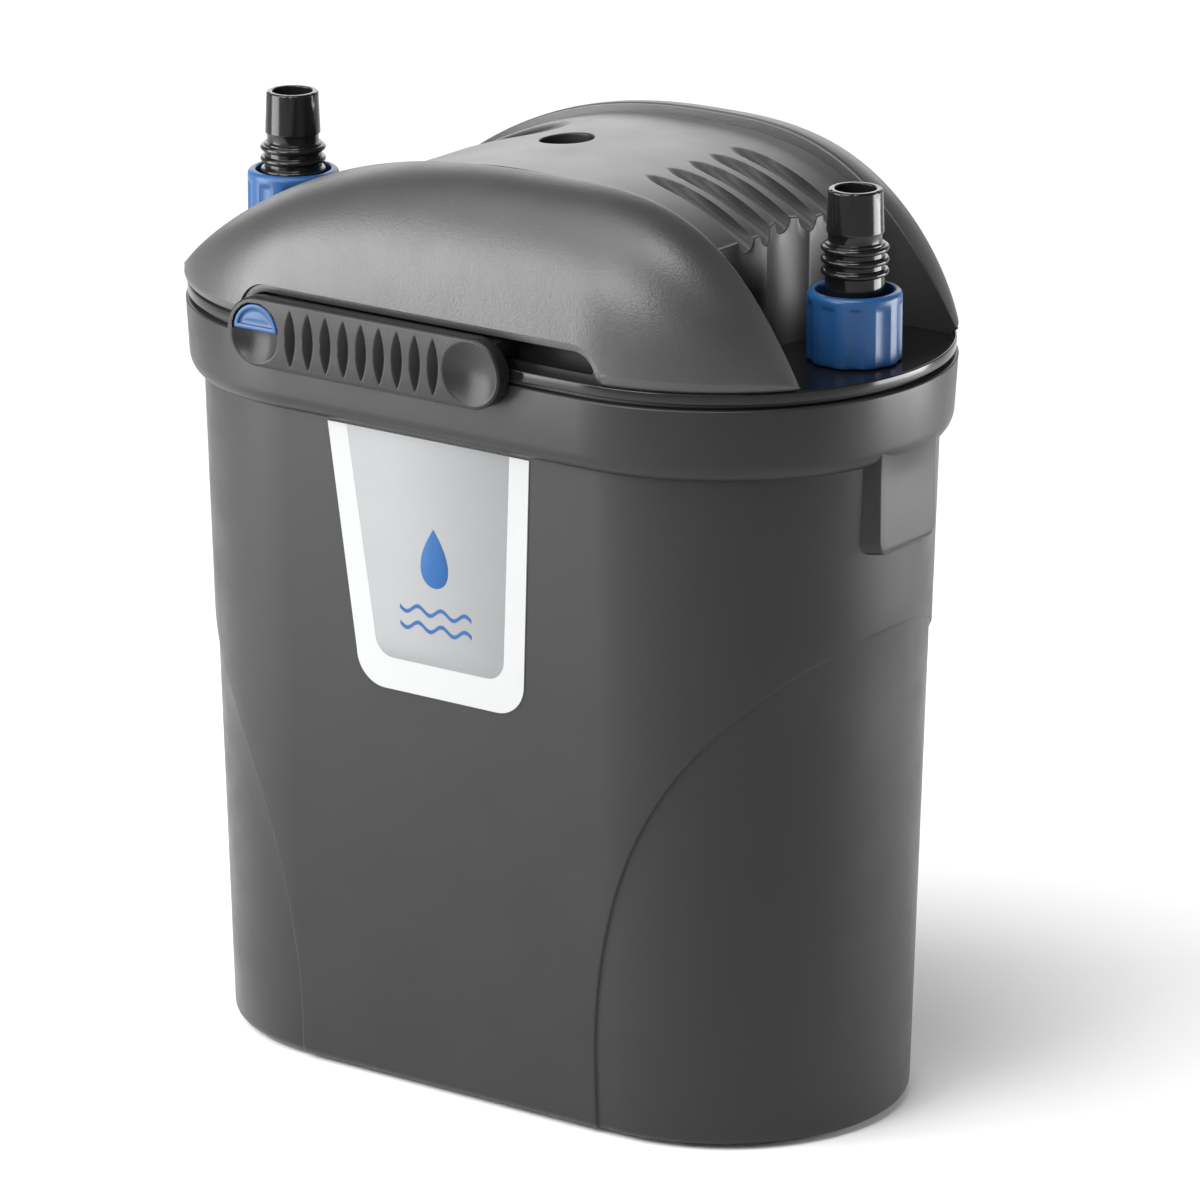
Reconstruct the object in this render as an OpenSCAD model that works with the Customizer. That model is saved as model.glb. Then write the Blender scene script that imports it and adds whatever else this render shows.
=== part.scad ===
// Canister water filter with the pump in its head.
// The tank is open at the top. The head closes it on a flat gasket, and two sliding
// latches, each with a release button, hold the head down. Millimetres, +Z up, X along
// the long side, -Y towards the side with the label. The origin is the centre of the
// surface that the filter stands on.

/* [Tank] */
// Length of the tank wall at its foot
tank_foot_l = 227.2; // [224:0.4:230]
// Width of the tank wall at its foot
tank_foot_w = 113; // [110:0.5:116]
// Length of the tank wall just under the collar
tank_top_l = 238.4; // [237:0.2:239.2]
// Width of the tank wall just under the collar
tank_top_w = 126.6; // [126:0.2:127.4]
// Thickness of the tank wall
wall = 3; // [2.75:0.25:3.25]
// Height of the collar's underside above the floor
collar_z = 205; // [203:1:206]
// Height of the collar's top edge above the floor
rim_z = 227; // [226.5:0.25:227.5]
// Length over the collar
collar_l = 246; // [245:0.5:247]
// Length over the collar's top edge
rim_l = 248.2; // [246:0.2:249]
// Width over the collar
collar_w = 138.8; // [138:0.2:139.2]
// Height of the collar's rounded lower edge
collar_round = 6; // [3:0.5:7]

/* [Head] */
// Top of the black ledge that the shells stand on
ledge_z = 231; // [230.75:0.25:231.25]
// Length over the shells where they swell out above the ledge
shell_l = 249.5; // [248:0.25:250]
// Width over the shells where they swell out above the ledge
shell_w = 141.2; // [140:0.2:141.4]
// Highest point of the front shell's ridge
front_ridge_z = 282.2; // [282.1:0.1:283]
// Highest point of the rear shell's ridge
rear_ridge_z = 285.4; // [284:0.2:288]
// Distance of each ridge from the middle of the head
ridge_y = 40; // [39:0.5:40.5]
// Wall thickness of the shells and of the bridge between them
shell_wall = 3; // [2.5:0.25:3.5]
// Half length of the bridge between the shells
bridge_x = 79; // [77:0.5:80]
// Radius of the clearance that the bridge leaves round each hose connector
connector_clearance = 29.5; // [28:0.5:33]

/* [Hose connectors] */
// Distance of each connector from the middle of the head
connector_x = 102; // [101.5:0.1:103]
// Outer radius of the hose tail where the hose grips it
tail_r = 7.85; // [7.7:0.05:8]
// Bore radius of the hose tail
tail_bore_r = 6; // [5:0.25:6.5]
// Top of the hose tail
tail_top_z = 281.5; // [279:0.5:283]
// Outer radius of the union nut
nut_r = 13.75; // [13.5:0.05:14.25]
// Top of the union nut
nut_top_z = 252; // [251:0.5:253]
// Top of the inlet's union nut, which is a longer one
inlet_nut_top_z = 257.8; // [252:0.2:258]
// Number of grip flutes round the union nut
nut_flutes = 10; // [8:1:14]

/* [Latches] */
// How far a latch slides from released to locked
latch_travel = 30; // [28:1:30]
// Distance between the centres of a latch bar's two round ends
latch_span = 78; // [76:1:79]
// Height of a latch bar
latch_h = 21; // [20:0.5:21]
// Thickness of a latch bar
latch_t = 5.4; // [5.2:0.1:5.6]
// How far the release button goes in
button_travel = 1.4; // [1:0.1:1.4]

/* [Pump] */
// Radius of the impeller
impeller_r = 18; // [15:0.5:20]
// Number of impeller blades
impeller_blades = 6; // [4:1:8]
// Radius of the rotor magnet
rotor_r = 10.6; // [9:0.2:10.8]
// Radius of the ceramic rotor shaft
shaft_r = 2; // [1.5:0.25:2]

/* [Filter media] */
// Length of a media basket
basket_l = 208; // [206:1:210]
// Width of a media basket
basket_w = 96; // [94:1:98]
// Wall thickness of a media basket
basket_wall = 1.8; // [1.4:0.1:2]

/* [Hidden] */
$fn = 48;

foot_h = 1.2;                   // rubber feet under the tank
tank_floor_z = 4.4;
ring_step = 5;                  // degrees between the points of an oval's round ends
side_draft = atan((tank_top_w - tank_foot_w) / 2 / collar_z);

label_t = 0.35;
label_rim = 7;                  // width of the label's white border
label_top_z = 204;
label_low_z = 125;

keeper_x = [-22, 18];           // lugs on the collar that a locked latch hooks under
keeper_w = 8;
keeper_out = 1.9;
keeper_z = 222.4;
keeper_h = 2.8;

seal_z = 228.6;                 // underside of the ledge, on the head's gasket
ledge_l = rim_l - 1.2;
ledge_w = collar_w - 0.6;
plug_gap = 0.5;                 // between the tank's mouth and the head's skirt
plug_l = tank_top_l - 2 * wall - 2 * plug_gap;
plug_w = tank_top_w - 2 * wall - 2 * plug_gap;
plug_bottom_z = 206;
cover_screw_at = [for (x = [-82, -40, 40, 82], side = [-1, 1]) [x, 44 * side]];

shell_foot_l = ledge_l - 2.4;   // foot of the shells, inside the ledge's lip
shell_foot_w = ledge_w - 2.4;
shell_foot_h = 0.9;
shell_swell_h = 4.5;
shell_c = (shell_l - shell_w) / 2;
// A ridge: its highest place, then where it reaches the ledge and how it falls on each side
front_ridge = [28, front_ridge_z, -116.5, 2.75, 111.8, 3.2];
rear_ridge = [23.5, rear_ridge_z, -99.6, 2.45, 111.5, 2.8];
bridge_peak_x = 14;
groove_r = 3.6;                 // grooves that run down the bridge's sloping end
groove_slope = 26.7;
screw_seat_z = 276;
gland_y = 29;
gland_z = 241;

slot_lo = -68;                  // slot in a shell that a latch slides along
slot_hi = 63;
slot_top_z = 243;
slot_corner = 10;
slide_gap = 0.35;
latch_face_y = 75.6;
latch_z = 230;
latch_x = -18;
button_x = latch_x - latch_span / 2;
button_back_y = -72.7;
spring_z = 236.8;
neck_z = [233.9, 240.3];        // a latch's neck and the wider foot behind it
foot_z = [232.6, 241.2];

port_r = 10.9;                  // threaded stubs on the ledge, under the union nuts
port_top_z = 243;
washer_h = 0.8;
flange_z = port_top_z + washer_h;
flange_h = 2.6;
pipe_x = -92;
pipe_r = 8;
duct_r = 11;                    // duct through the baskets for the intake pipe

pump_r = 25;
pump_floor_z = 208;
well_r = 11.6;                  // dry side of the rotor's well
well_t = 1.8;
well_top_z = 262;
motor_l = 68;
motor_w = 60;
motor_top_z = 267;
lid_top_z = 269;
hub_z = 211;
magnet_z = 231.5;

basket_floor_z = 12;
basket_split_z = 104;           // the upper basket stands on the lower one here
basket_top_z = 197;
media_gap = 0.3;
ring_pitch = 22;
ring_h = 18;

plastic_grey = [0.30, 0.30, 0.30];
black = [0.05, 0.05, 0.055];
dark = [0.12, 0.12, 0.13];
blue = [0.13, 0.27, 0.50];
steel = [0.72, 0.73, 0.75];

// ---- shared shapes ----

// Outline of a bar with fully round ends, l long over all and w wide.
function oval(l, w) = let (r = w / 2, c = l / 2 - r) concat(
    [for (a = [-90:ring_step:90]) [c + r * cos(a), r * sin(a)]],
    [for (a = [90:ring_step:270]) [-c + r * cos(a), r * sin(a)]]
);

function ring(l, w, z) = [for (p = oval(l, w)) [p[0], p[1], z]];

function rounded_outline(x0, x1, y0, y1, corner) = [
    for (q = [
        [x1 - corner, y0 + corner, -90],
        [x1 - corner, y1 - corner, 0],
        [x0 + corner, y1 - corner, 90],
        [x0 + corner, y0 + corner, 180]
    ], a = [0:15:90])
        [q[0] + corner * cos(q[2] + a), q[1] + corner * sin(q[2] + a)]
];

// Skins a list of rings that all have the same number of points.
module loft(rings) {
    n = len(rings[0]);
    last = len(rings) - 1;
    points = [for (r = rings) each r];
    sides = [for (k = [0:last - 1], i = [0:n - 1])
        let (a = k * n + i, b = k * n + (i + 1) % n) [a, a + n, b + n, b]];
    caps = [
        [for (i = [0:n - 1]) i],
        [for (i = [n - 1:-1:0]) last * n + i]
    ];
    polyhedron(points, concat(sides, caps));
}

module oval_slab(l, w, z0, z1) {
    translate([0, 0, z0])
        linear_extrude(z1 - z0)
            polygon(oval(l, w));
}

module oval_wall(l, w, t, z0, z1) {
    difference() {
        oval_slab(l, w, z0, z1);
        oval_slab(l - 2 * t, w - 2 * t, z0 - 1, z1 + 1);
    }
}

module tube(r_out, r_in, z0, z1) {
    translate([0, 0, z0])
        difference() {
            cylinder(r = r_out, h = z1 - z0);
            translate([0, 0, -1])
                cylinder(r = r_in, h = z1 - z0 + 2);
        }
}

module torus(r, section_r, z) {
    translate([0, 0, z])
        rotate_extrude()
            translate([r, 0])
                circle(r = section_r, $fn = 24);
}

// A plate that stands upright along X, from y0 to y1, with round corners.
module upright_plate(x0, x1, z0, z1, y0, y1, corner) {
    translate([0, y1, 0])
        rotate([90, 0, 0])
            linear_extrude(y1 - y0)
                polygon(rounded_outline(x0, x1, z0, z1, corner));
}

module rounded_box(l, w, z0, z1, corner) {
    translate([0, 0, z0])
        linear_extrude(z1 - z0)
            polygon(rounded_outline(-l / 2, l / 2, -w / 2, w / 2, corner));
}

module y_cylinder(r, x, z, y0, y1) {
    translate([x, y1, z])
        rotate([90, 0, 0])
            cylinder(r = r, h = y1 - y0);
}

module half_turn() {
    rotate([0, 0, 180])
        children();
}

// ---- tank ----

// Length and width of the tank's outside at a height.
function tank_l(z) = tank_foot_l + (tank_top_l - tank_foot_l) * z / collar_z;
function tank_w(z) = tank_foot_w + (tank_top_w - tank_foot_w) * z / collar_z;

// A ring of the tank's outside at a height, pulled in on every side by inset.
function tank_ring(z, inset) = ring(tank_l(z) - 2 * inset, tank_w(z) - 2 * inset, z);

// The rings run up the outside, over the collar and down the inside to the floor.
module tank_shell() {
    foot_round = 3;
    floor_round = 2;
    edge_round = 0.8;
    seat_z = rim_z - 12;
    collar_t = 6;
    mouth_l = tank_top_l - 2 * wall;
    mouth_w = tank_top_w - 2 * wall;
    loft(concat(
        [for (a = [0:30:90])
            tank_ring(foot_h + foot_round * (1 - cos(a)), foot_round * (1 - sin(a)))],
        [tank_ring(collar_z, 0)],
        [for (a = [18:18:90]) ring(
            tank_top_l + (collar_l - tank_top_l) * sin(a),
            tank_top_w + (collar_w - tank_top_w) * sin(a),
            collar_z + collar_round * (1 - cos(a))
        )],
        [
            ring(rim_l, collar_w, rim_z - edge_round),
            ring(rim_l - 2 * edge_round, collar_w - 2 * edge_round, rim_z),
            ring(collar_l - 2 * collar_t, collar_w - 2 * collar_t, rim_z),
            ring(collar_l - 2 * collar_t, collar_w - 2 * collar_t, seat_z),
            ring(mouth_l, mouth_w, seat_z - 2),
            ring(mouth_l, mouth_w, collar_z)
        ],
        [for (a = [0:30:90]) tank_ring(
            tank_floor_z + floor_round * (1 - sin(a)),
            wall + floor_round * (1 - cos(a))
        )]
    ));
}

// A grip lug that hangs from the collar at each end and narrows outwards.
module end_lug() {
    root_half_w = 18;
    face_half_w = 14;
    face_x = 121.2;
    root_x = 115;
    low_z = 178;
    corner = 5;
    intersection() {
        translate([root_x - 1, 0, 0])
            rotate([90, 0, 90])
                linear_extrude(face_x - root_x + 2)
                    polygon(concat(
                        [[root_half_w, collar_z + 4], [-root_half_w, collar_z + 4]],
                        [for (a = [180:15:270]) [
                            corner - root_half_w + corner * cos(a),
                            low_z + corner * (1 + sin(a))
                        ]],
                        [for (a = [270:15:360]) [
                            root_half_w - corner + corner * cos(a),
                            low_z + corner * (1 + sin(a))
                        ]]
                    ));
        translate([0, 0, low_z - 1])
            linear_extrude(collar_z - low_z + 6)
                polygon([
                    [root_x, -root_half_w], [face_x, -face_half_w],
                    [face_x, face_half_w], [root_x, root_half_w],
                    [root_x + 1.9, root_half_w / 2], [root_x + 1.9, -root_half_w / 2]
                ]);
    }
}

module latch_keepers() {
    for (x = keeper_x)
        translate([x - keeper_w / 2, -collar_w / 2 - keeper_out, keeper_z])
            cube([keeper_w, keeper_out + 2, keeper_h]);
}

module tank() {
    color(plastic_grey)
        union() {
            tank_shell();
            for (side = [0, 180])
                rotate([0, 0, side]) {
                    end_lug();
                    latch_keepers();
                }
        }
}

module rubber_feet() {
    color(black)
        for (x = [-78, 78], y = [-34, 34])
            translate([x, y, 0])
                cylinder(r = 9, h = foot_h);
}

// ---- label ----

// Puts a flat shape on the tank's front wall, drawn in X and distance up the wall.
module on_front_wall(lift, t) {
    translate([0, -tank_foot_w / 2, 0])
        rotate([90 + side_draft, 0, 0])
            translate([0, 0, lift])
                linear_extrude(t)
                    children();
}

// The label narrows downwards and has round lower corners.
module label_outline(inset) {
    low = label_low_z + 1.4 * inset;
    corner = 10 - 0.5 * inset;
    polygon(concat(
        [[33.3 - inset, label_top_z], [-39.8 + inset, label_top_z]],
        [for (a = [180:15:270])
            [-31.5 + inset + corner * (1 + cos(a)), low + corner * (1 + sin(a))]],
        [for (a = [270:15:360])
            [29.5 - inset - corner * (1 - cos(a)), low + corner * (1 + sin(a))]]
    ));
}

module label_border() {
    color("white")
        on_front_wall(0, label_t)
            difference() {
                label_outline(0);
                label_outline(label_rim);
            }
}

module label_face() {
    color([0.68, 0.69, 0.70])
        on_front_wall(0, label_t)
            label_outline(label_rim);
}

// A plain water drop over two ripples.
module label_mark() {
    mark_x = -2;
    drop_z = 168;
    ripple_z = 152;
    print_t = 0.1;
    color([0.10, 0.45, 0.70])
        on_front_wall(label_t, print_t) {
            translate([mark_x, drop_z])
                polygon([for (a = [0:12:348]) [6.5 * sin(a) * sin(a / 2), 9 * cos(a)]]);
            for (row = [0, 1])
                translate([mark_x, ripple_z - 5 * row])
                    polygon(concat(
                        [for (x = [-13:1:13]) [x, 1.1 * sin(x * 42) - 1.2]],
                        [for (x = [13:-1:-13]) [x, 1.1 * sin(x * 42)]]
                    ));
        }
}

// ---- head base and what hangs from it ----

// A threaded stub on the ledge and the block under it that carries the water inwards.
module port() {
    block_in = 80;
    block_w = 22;
    block_z = 212;
    thread_h = 0.9;
    translate([connector_x, 0, ledge_z - 1])
        cylinder(r = port_r, h = port_top_z - ledge_z + 1);
    for (z = [234:3:240])
        translate([connector_x, 0, 0])
            torus(port_r, thread_h, z);
    translate([block_in, -block_w / 2, block_z])
        cube([plug_l / 2 - 2 - block_in, block_w, seal_z + 1 - block_z]);
}

module head_base() {
    port_bore_r = 7.4;
    passage_z = 220;
    color(black)
        difference() {
            union() {
                oval_slab(ledge_l, ledge_w, seal_z, ledge_z);
                oval_wall(ledge_l, ledge_w, 1, ledge_z - 1, ledge_z + 0.7);
                oval_wall(plug_l, plug_w, 2.5, plug_bottom_z, seal_z + 1);
                translate([0, 0, pump_floor_z])
                    cylinder(r = pump_r, h = ledge_z - 1 - pump_floor_z);
                port();
                half_turn()
                    port();
                translate([pump_r - 3, 0, passage_z])
                    rotate([0, 90, 0])
                        cylinder(r = 7, h = 64);
            }
            // Groove for the skirt's seal
            oval_wall(plug_l + 2, plug_w + 2, 2.2, plug_bottom_z + 2, plug_bottom_z + 5);
            // Impeller chamber, and the way up to the rotor
            translate([0, 0, pump_floor_z - 1])
                cylinder(r = pump_r - 3, h = 18);
            translate([0, 0, pump_floor_z])
                cylinder(r = well_r, h = 40);
            // Outlet passage and port
            translate([pump_r - 6, 0, passage_z])
                rotate([0, 90, 0])
                    cylinder(r = 5, h = connector_x - pump_r + 6);
            translate([connector_x, 0, passage_z - 5])
                cylinder(r = port_bore_r, h = 40);
            // Inlet port, the socket of the intake pipe and the way between them
            translate([-connector_x, 0, passage_z - 3])
                cylinder(r = port_bore_r, h = 40);
            translate([pipe_x, 0, plug_bottom_z - 1])
                cylinder(r = pipe_r + 0.05, h = passage_z + 3 - plug_bottom_z);
            translate([-connector_x, 0, passage_z + 3.5])
                rotate([0, 90, 0])
                    cylinder(r = 4.5, h = 14);
            // Holes for the cover screws and the pump cover screws
            for (p = cover_screw_at)
                translate([p[0], p[1], seal_z - 1])
                    cylinder(r = 1.6, h = 5);
            for (a = [45:90:315])
                rotate([0, 0, a])
                    translate([pump_r - 1.5, 0, pump_floor_z - 1])
                        cylinder(r = 0.8, h = 7);
        }
}

module head_seal() {
    color(black)
        oval_wall(collar_l - 3, collar_w - 3, 4, rim_z, seal_z);
}

module plug_seal() {
    reach = 2 * plug_gap - 0.3;
    color(black)
        oval_wall(
            plug_l + reach, plug_w + reach, 1.4,
            plug_bottom_z + 2.1, plug_bottom_z + 4.9
        );
}

module port_washer() {
    color(black)
        tube(9.8, 7.4, port_top_z, flange_z);
}

module inlet_washer() {
    translate([-connector_x, 0, 0])
        port_washer();
}

module outlet_washer() {
    translate([connector_x, 0, 0])
        port_washer();
}

module intake_pipe() {
    color(dark)
        translate([pipe_x, 0, 0])
            tube(pipe_r, pipe_r - 1.5, 8, 221.9);
}

module cover_screws() {
    head_h = 1.8;
    color(steel)
        for (p = cover_screw_at)
            translate([p[0], p[1], 0]) {
                translate([0, 0, seal_z - head_h])
                    cylinder(r = 2.8, h = head_h);
                translate([0, 0, seal_z - 0.5])
                    cylinder(r = 1.4, h = 11);
            }
}

// ---- shells and bridge ----

// Height of a ridge above the ledge as a share of its peak.
function ridge_share(x, ridge) = x > ridge[0]
    ? 1 - pow((x - ridge[0]) / (ridge[4] - ridge[0]), ridge[5])
    : 1 - pow((ridge[0] - x) / (ridge[0] - ridge[2]), ridge[3]);

function shell_half_w(x, inset) = let (r = shell_w / 2 - inset)
    abs(x) <= shell_c ? r : sqrt(max(0, r * r - pow(abs(x) - shell_c, 2)));

// Half length of a shell, where its outside meets the plane of the ridge.
function shell_reach(inset) =
    shell_c + sqrt(pow(shell_w / 2 - inset, 2) - pow(ridge_y + inset, 2));

// One upright slice of a shell: along the ledge, round the outside and up to the ridge.
function shell_slice(x, inset, ridge) = let (
    low_z = ledge_z - (inset > 0 ? 1 : 0),
    inner_y = ridge_y + inset,
    out = shell_half_w(x, inset) - inner_y,
    share = max(0.04, ridge_share(x, ridge)),
    rise = max(0.5, (ridge[1] - ledge_z) * share - inset)
) concat(
    [[x, inner_y, low_z]],
    [for (a = [0:6:90]) [
        x,
        inner_y + out * pow(cos(a), 0.9),
        a == 0 ? low_z : ledge_z + rise * pow(sin(a), 0.9)
    ]]
);

// What a shell may fill: its foot stands inside the ledge's lip, and it swells above that.
module shell_limits(inset) {
    grow_l = shell_l - shell_foot_l;
    grow_w = shell_w - shell_foot_w;
    loft(concat(
        [ring(shell_foot_l - 2 * inset, shell_foot_w - 2 * inset, ledge_z - 2)],
        [for (a = [0:18:90]) ring(
            shell_foot_l + grow_l * sin(a) - 2 * inset,
            shell_foot_w + grow_w * sin(a) - 2 * inset,
            ledge_z + shell_foot_h + shell_swell_h * (1 - cos(a))
        )],
        [ring(shell_l + 4, shell_w + 4, rear_ridge_z + 3)]
    ));
}

module shell_solid(inset, ridge) {
    intersection() {
        loft([for (a = [-87:5.8:87])
            shell_slice(shell_reach(inset) * sin(a), inset, ridge)]);
        shell_limits(inset);
    }
}

// A hollow shell on the +Y side, with a slot for a latch from x = slot_a to slot_b.
module head_shell(ridge, slot_a, slot_b) {
    boss_h = 12;
    difference() {
        union() {
            difference() {
                shell_solid(0, ridge);
                shell_solid(shell_wall, ridge);
                upright_plate(slot_a, slot_b, ledge_z - 12, slot_top_z, 55, 75, slot_corner);
            }
            for (p = cover_screw_at)
                if (p[1] > 0)
                    translate([p[0], p[1], ledge_z])
                        cylinder(r = 3.5, h = boss_h);
        }
        for (p = cover_screw_at)
            if (p[1] > 0)
                translate([p[0], p[1], ledge_z - 1])
                    cylinder(r = 1.45, h = boss_h);
    }
}

module front_shell() {
    color(plastic_grey)
        mirror([0, 1, 0])
            head_shell(front_ridge, slot_lo, slot_hi);
}

module rear_shell() {
    color(plastic_grey)
        head_shell(rear_ridge, -slot_hi, -slot_lo);
}

// Height of the bridge's top along the head.
function bridge_top(x) = x > bridge_peak_x
    ? 282 - 14 * pow((x - bridge_peak_x) / 63, 3.2)
    : 282 - 19 * pow((bridge_peak_x - x) / 72, 2.2);

// The bridge from x0 to x1, with its top lowered by drop.
module bridge_block(x0, x1, half_w, drop) {
    steps = 24;
    low_z = ledge_z - (drop > 0 ? 1 : 0);
    translate([0, half_w, 0])
        rotate([90, 0, 0])
            linear_extrude(2 * half_w)
                polygon(concat(
                    [[x0, low_z], [x1, low_z]],
                    [for (k = [steps:-1:0]) let (x = x0 + (x1 - x0) * k / steps)
                        [x, bridge_top(x) - drop]]
                ));
}

module bridge_cover() {
    groove_x = 45;
    inner_w = 2 * ridge_y - 5;
    color([0.42, 0.43, 0.44])
        difference() {
            union() {
                difference() {
                    bridge_block(-bridge_x, bridge_x, ridge_y, 0);
                    bridge_block(-66, 42, inner_w / 2, shell_wall);
                    // Lower room under the grooves
                    translate([40, -inner_w / 2, ledge_z - 1])
                        cube([28, inner_w, 24]);
                }
                translate([0, 0, lid_top_z])
                    cylinder(r = 10, h = 10);
            }
            for (side = [-1, 1])
                translate([side * connector_x, 0, ledge_z - 1])
                    cylinder(r = connector_clearance, h = 60, $fn = 96);
            // Recess and hole of the centre screw
            translate([0, 0, screw_seat_z])
                cylinder(r = 8, h = 12);
            translate([0, 0, lid_top_z - 1])
                cylinder(r = 2.3, h = 20);
            for (y = [-21:10.5:21])
                translate([groove_x, y, bridge_top(groove_x) + groove_r])
                    rotate([0, 90 + groove_slope, 0])
                        cylinder(r = groove_r, h = 60);
            // Hole of the cable gland
            translate([-bridge_x - 1, gland_y, gland_z])
                rotate([0, 90, 0])
                    cylinder(r = 4, h = 20);
        }
}

module centre_screw() {
    head_h = 2.2;
    color(steel)
        difference() {
            union() {
                translate([0, 0, screw_seat_z])
                    cylinder(r = 4.6, h = head_h);
                translate([0, 0, screw_seat_z + head_h])
                    cylinder(r1 = 4.6, r2 = 3, h = 0.8);
                translate([0, 0, screw_seat_z - 12])
                    cylinder(r = 2, h = 13);
            }
            for (a = [0, 90])
                rotate([0, 0, a])
                    translate([-2.6, -0.5, screw_seat_z + 1.4])
                        cube([5.2, 1, 3]);
        }
}

module cable_gland() {
    color(black)
        translate([-bridge_x, gland_y, gland_z])
            rotate([0, 90, 0])
                difference() {
                    union() {
                        translate([0, 0, -9])
                            cylinder(r1 = 3.6, r2 = 5.4, h = 9);
                        cylinder(r = 3.95, h = 8);
                    }
                    translate([0, 0, -10])
                        cylinder(r = 2.6, h = 20);
                }
}

// ---- latches ----

// Fills a shell's slot and holds the T-shaped foot of the latch.
module latch_rail() {
    plate_gap = 0.1;
    run_lo = slot_lo + 5.5;
    run_hi = slot_hi - 5.5;
    color(black)
        difference() {
            upright_plate(
                slot_lo + plate_gap, slot_hi - plate_gap,
                ledge_z - 12, slot_top_z - plate_gap,
                -65.5, -58, slot_corner - plate_gap
            );
            translate([slot_lo - 1, -66, ledge_z - 14])
                cube([slot_hi - slot_lo + 2, 9, 14]);
            upright_plate(
                run_lo, run_hi, neck_z[0] - slide_gap, neck_z[1] + slide_gap,
                -66, -63, 1
            );
            upright_plate(
                run_lo, run_hi, foot_z[0] - slide_gap, foot_z[1] + slide_gap,
                -64, -60, 1
            );
        }
}

module front_latch_rail() {
    latch_rail();
}

module rear_latch_rail() {
    half_turn()
        latch_rail();
}

// Half a disc standing on its flat side, for the release button and its pocket.
module half_disc(r, y0, y1) {
    translate([button_x, y1, latch_z + 0.5])
        rotate([90, 0, 0])
            linear_extrude(y1 - y0)
                polygon([for (a = [0:10:180]) [r * cos(a), r * sin(a)]]);
}

module latch_bar(y0, y1) {
    end_r = latch_h / 2;
    half_l = latch_span / 2 + end_r;
    upright_plate(
        latch_x - half_l, latch_x + half_l,
        latch_z - end_r, latch_z + end_r,
        y0, y1, end_r - 0.1
    );
}

// A lens-shaped finger groove across the bar, cut by the rim of a thin wheel.
module finger_groove(x) {
    wheel_r = 19;
    rim_h = 1.7;
    translate([x, 2 - latch_face_y - wheel_r, latch_z])
        rotate([0, 90, 0]) {
            translate([0, 0, -rim_h])
                cylinder(r1 = wheel_r - 2, r2 = wheel_r, h = rim_h);
            cylinder(r1 = wheel_r, r2 = wheel_r - 2, h = rim_h);
        }
}

module latch() {
    back_y = latch_t - latch_face_y;
    lower_dish_r = 16;
    end_dish_r = 20;
    color(plastic_grey)
        difference() {
            union() {
                latch_bar(-latch_face_y, back_y);
                // Neck and foot that run in the rail
                intersection() {
                    latch_bar(back_y - 1, -62);
                    upright_plate(-62, 27, neck_z[0], neck_z[1], back_y - 0.5, -63.2, 0.6);
                }
                upright_plate(-62, 27, foot_z[0], foot_z[1], -63.6, -60.4, 0.6);
            }
            // Pocket of the button, and of its spring
            half_disc(8.4, -latch_face_y - 1, button_back_y + button_travel + 0.2);
            y_cylinder(2.4, button_x, spring_z, -72, -65.4);
            // Dished ends: below the button, and the whole of the other end
            intersection() {
                translate([button_x, 2.5 - latch_face_y - lower_dish_r, latch_z - 1])
                    sphere(r = lower_dish_r);
                translate([button_x - 12, -latch_face_y - 3, latch_z - 13])
                    cube([24, 6, 13.4]);
            }
            translate([latch_x + latch_span / 2, 2 - latch_face_y - end_dish_r, latch_z])
                sphere(r = end_dish_r);
            for (k = [-4:4])
                finger_groove(latch_x + 6.5 * k);
            // Run for the tank's keepers, open below where the latch is released
            for (x = keeper_x) {
                translate([x - keeper_w / 2 - latch_travel - 0.5, -72, keeper_z - 0.5])
                    cube([keeper_w + latch_travel + 1, 3, keeper_h + 1.2]);
                translate([x - keeper_w / 2 - 0.5, -72, keeper_z - 4])
                    cube([keeper_w + 1, 3, 5]);
            }
        }
}

module front_latch() {
    latch();
}

module rear_latch() {
    half_turn()
        latch();
}

module latch_button() {
    color(blue)
        half_disc(8, 0.2 - latch_face_y, button_back_y);
}

module front_latch_button() {
    latch_button();
}

module rear_latch_button() {
    half_turn()
        latch_button();
}

// The wound spring behind the button, a round wire swept along a helix.
module button_spring() {
    coil_r = 1.6;
    wire_r = 0.3;
    turns = 4;
    first_y = button_back_y + wire_r + 0.05;
    last_y = -65.4 - wire_r - 0.05;
    color(steel)
        translate([button_x, first_y, spring_z])
            loft([for (t = [0:20:360 * turns])
                [for (a = [0:60:300]) [
                    (coil_r + wire_r * cos(a)) * cos(t),
                    (last_y - first_y) * t / (360 * turns) + wire_r * sin(a),
                    (coil_r + wire_r * cos(a)) * sin(t)
                ]]]);
}

module front_button_spring() {
    button_spring();
}

module rear_button_spring() {
    half_turn()
        button_spring();
}

// ---- hose connectors ----

// The nut's inner lip pulls the hose tail's flange down on the washer.
module union_nut(top_z) {
    low_z = ledge_z + 0.3;
    thread_r = 11.9;
    lip_r = 10.2;
    lip_z = flange_z + 2.8;
    mouth_r = 11.3;
    color(blue)
        difference() {
            rotate_extrude()
                polygon([
                    [thread_r, low_z], [nut_r - 0.6, low_z], [nut_r, low_z + 0.6],
                    [nut_r, top_z - 1.6], [nut_r - 0.5, top_z - 0.5],
                    [nut_r - 1.6, top_z], [mouth_r + 0.4, top_z],
                    [mouth_r, top_z - 0.5], [mouth_r, lip_z + 1.8],
                    [lip_r, lip_z + 1.8], [lip_r, lip_z], [thread_r, lip_z]
                ]);
            for (k = [0:nut_flutes - 1])
                rotate([0, 0, 360 * k / nut_flutes])
                    translate([nut_r + 1.5, 0, ledge_z - 1])
                        cylinder(r = 2.2, h = top_z - ledge_z - 2.5);
        }
}

module inlet_union_nut() {
    translate([-connector_x, 0, 0])
        union_nut(inlet_nut_top_z);
}

module outlet_union_nut() {
    translate([connector_x, 0, 0])
        union_nut(nut_top_z);
}

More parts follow.
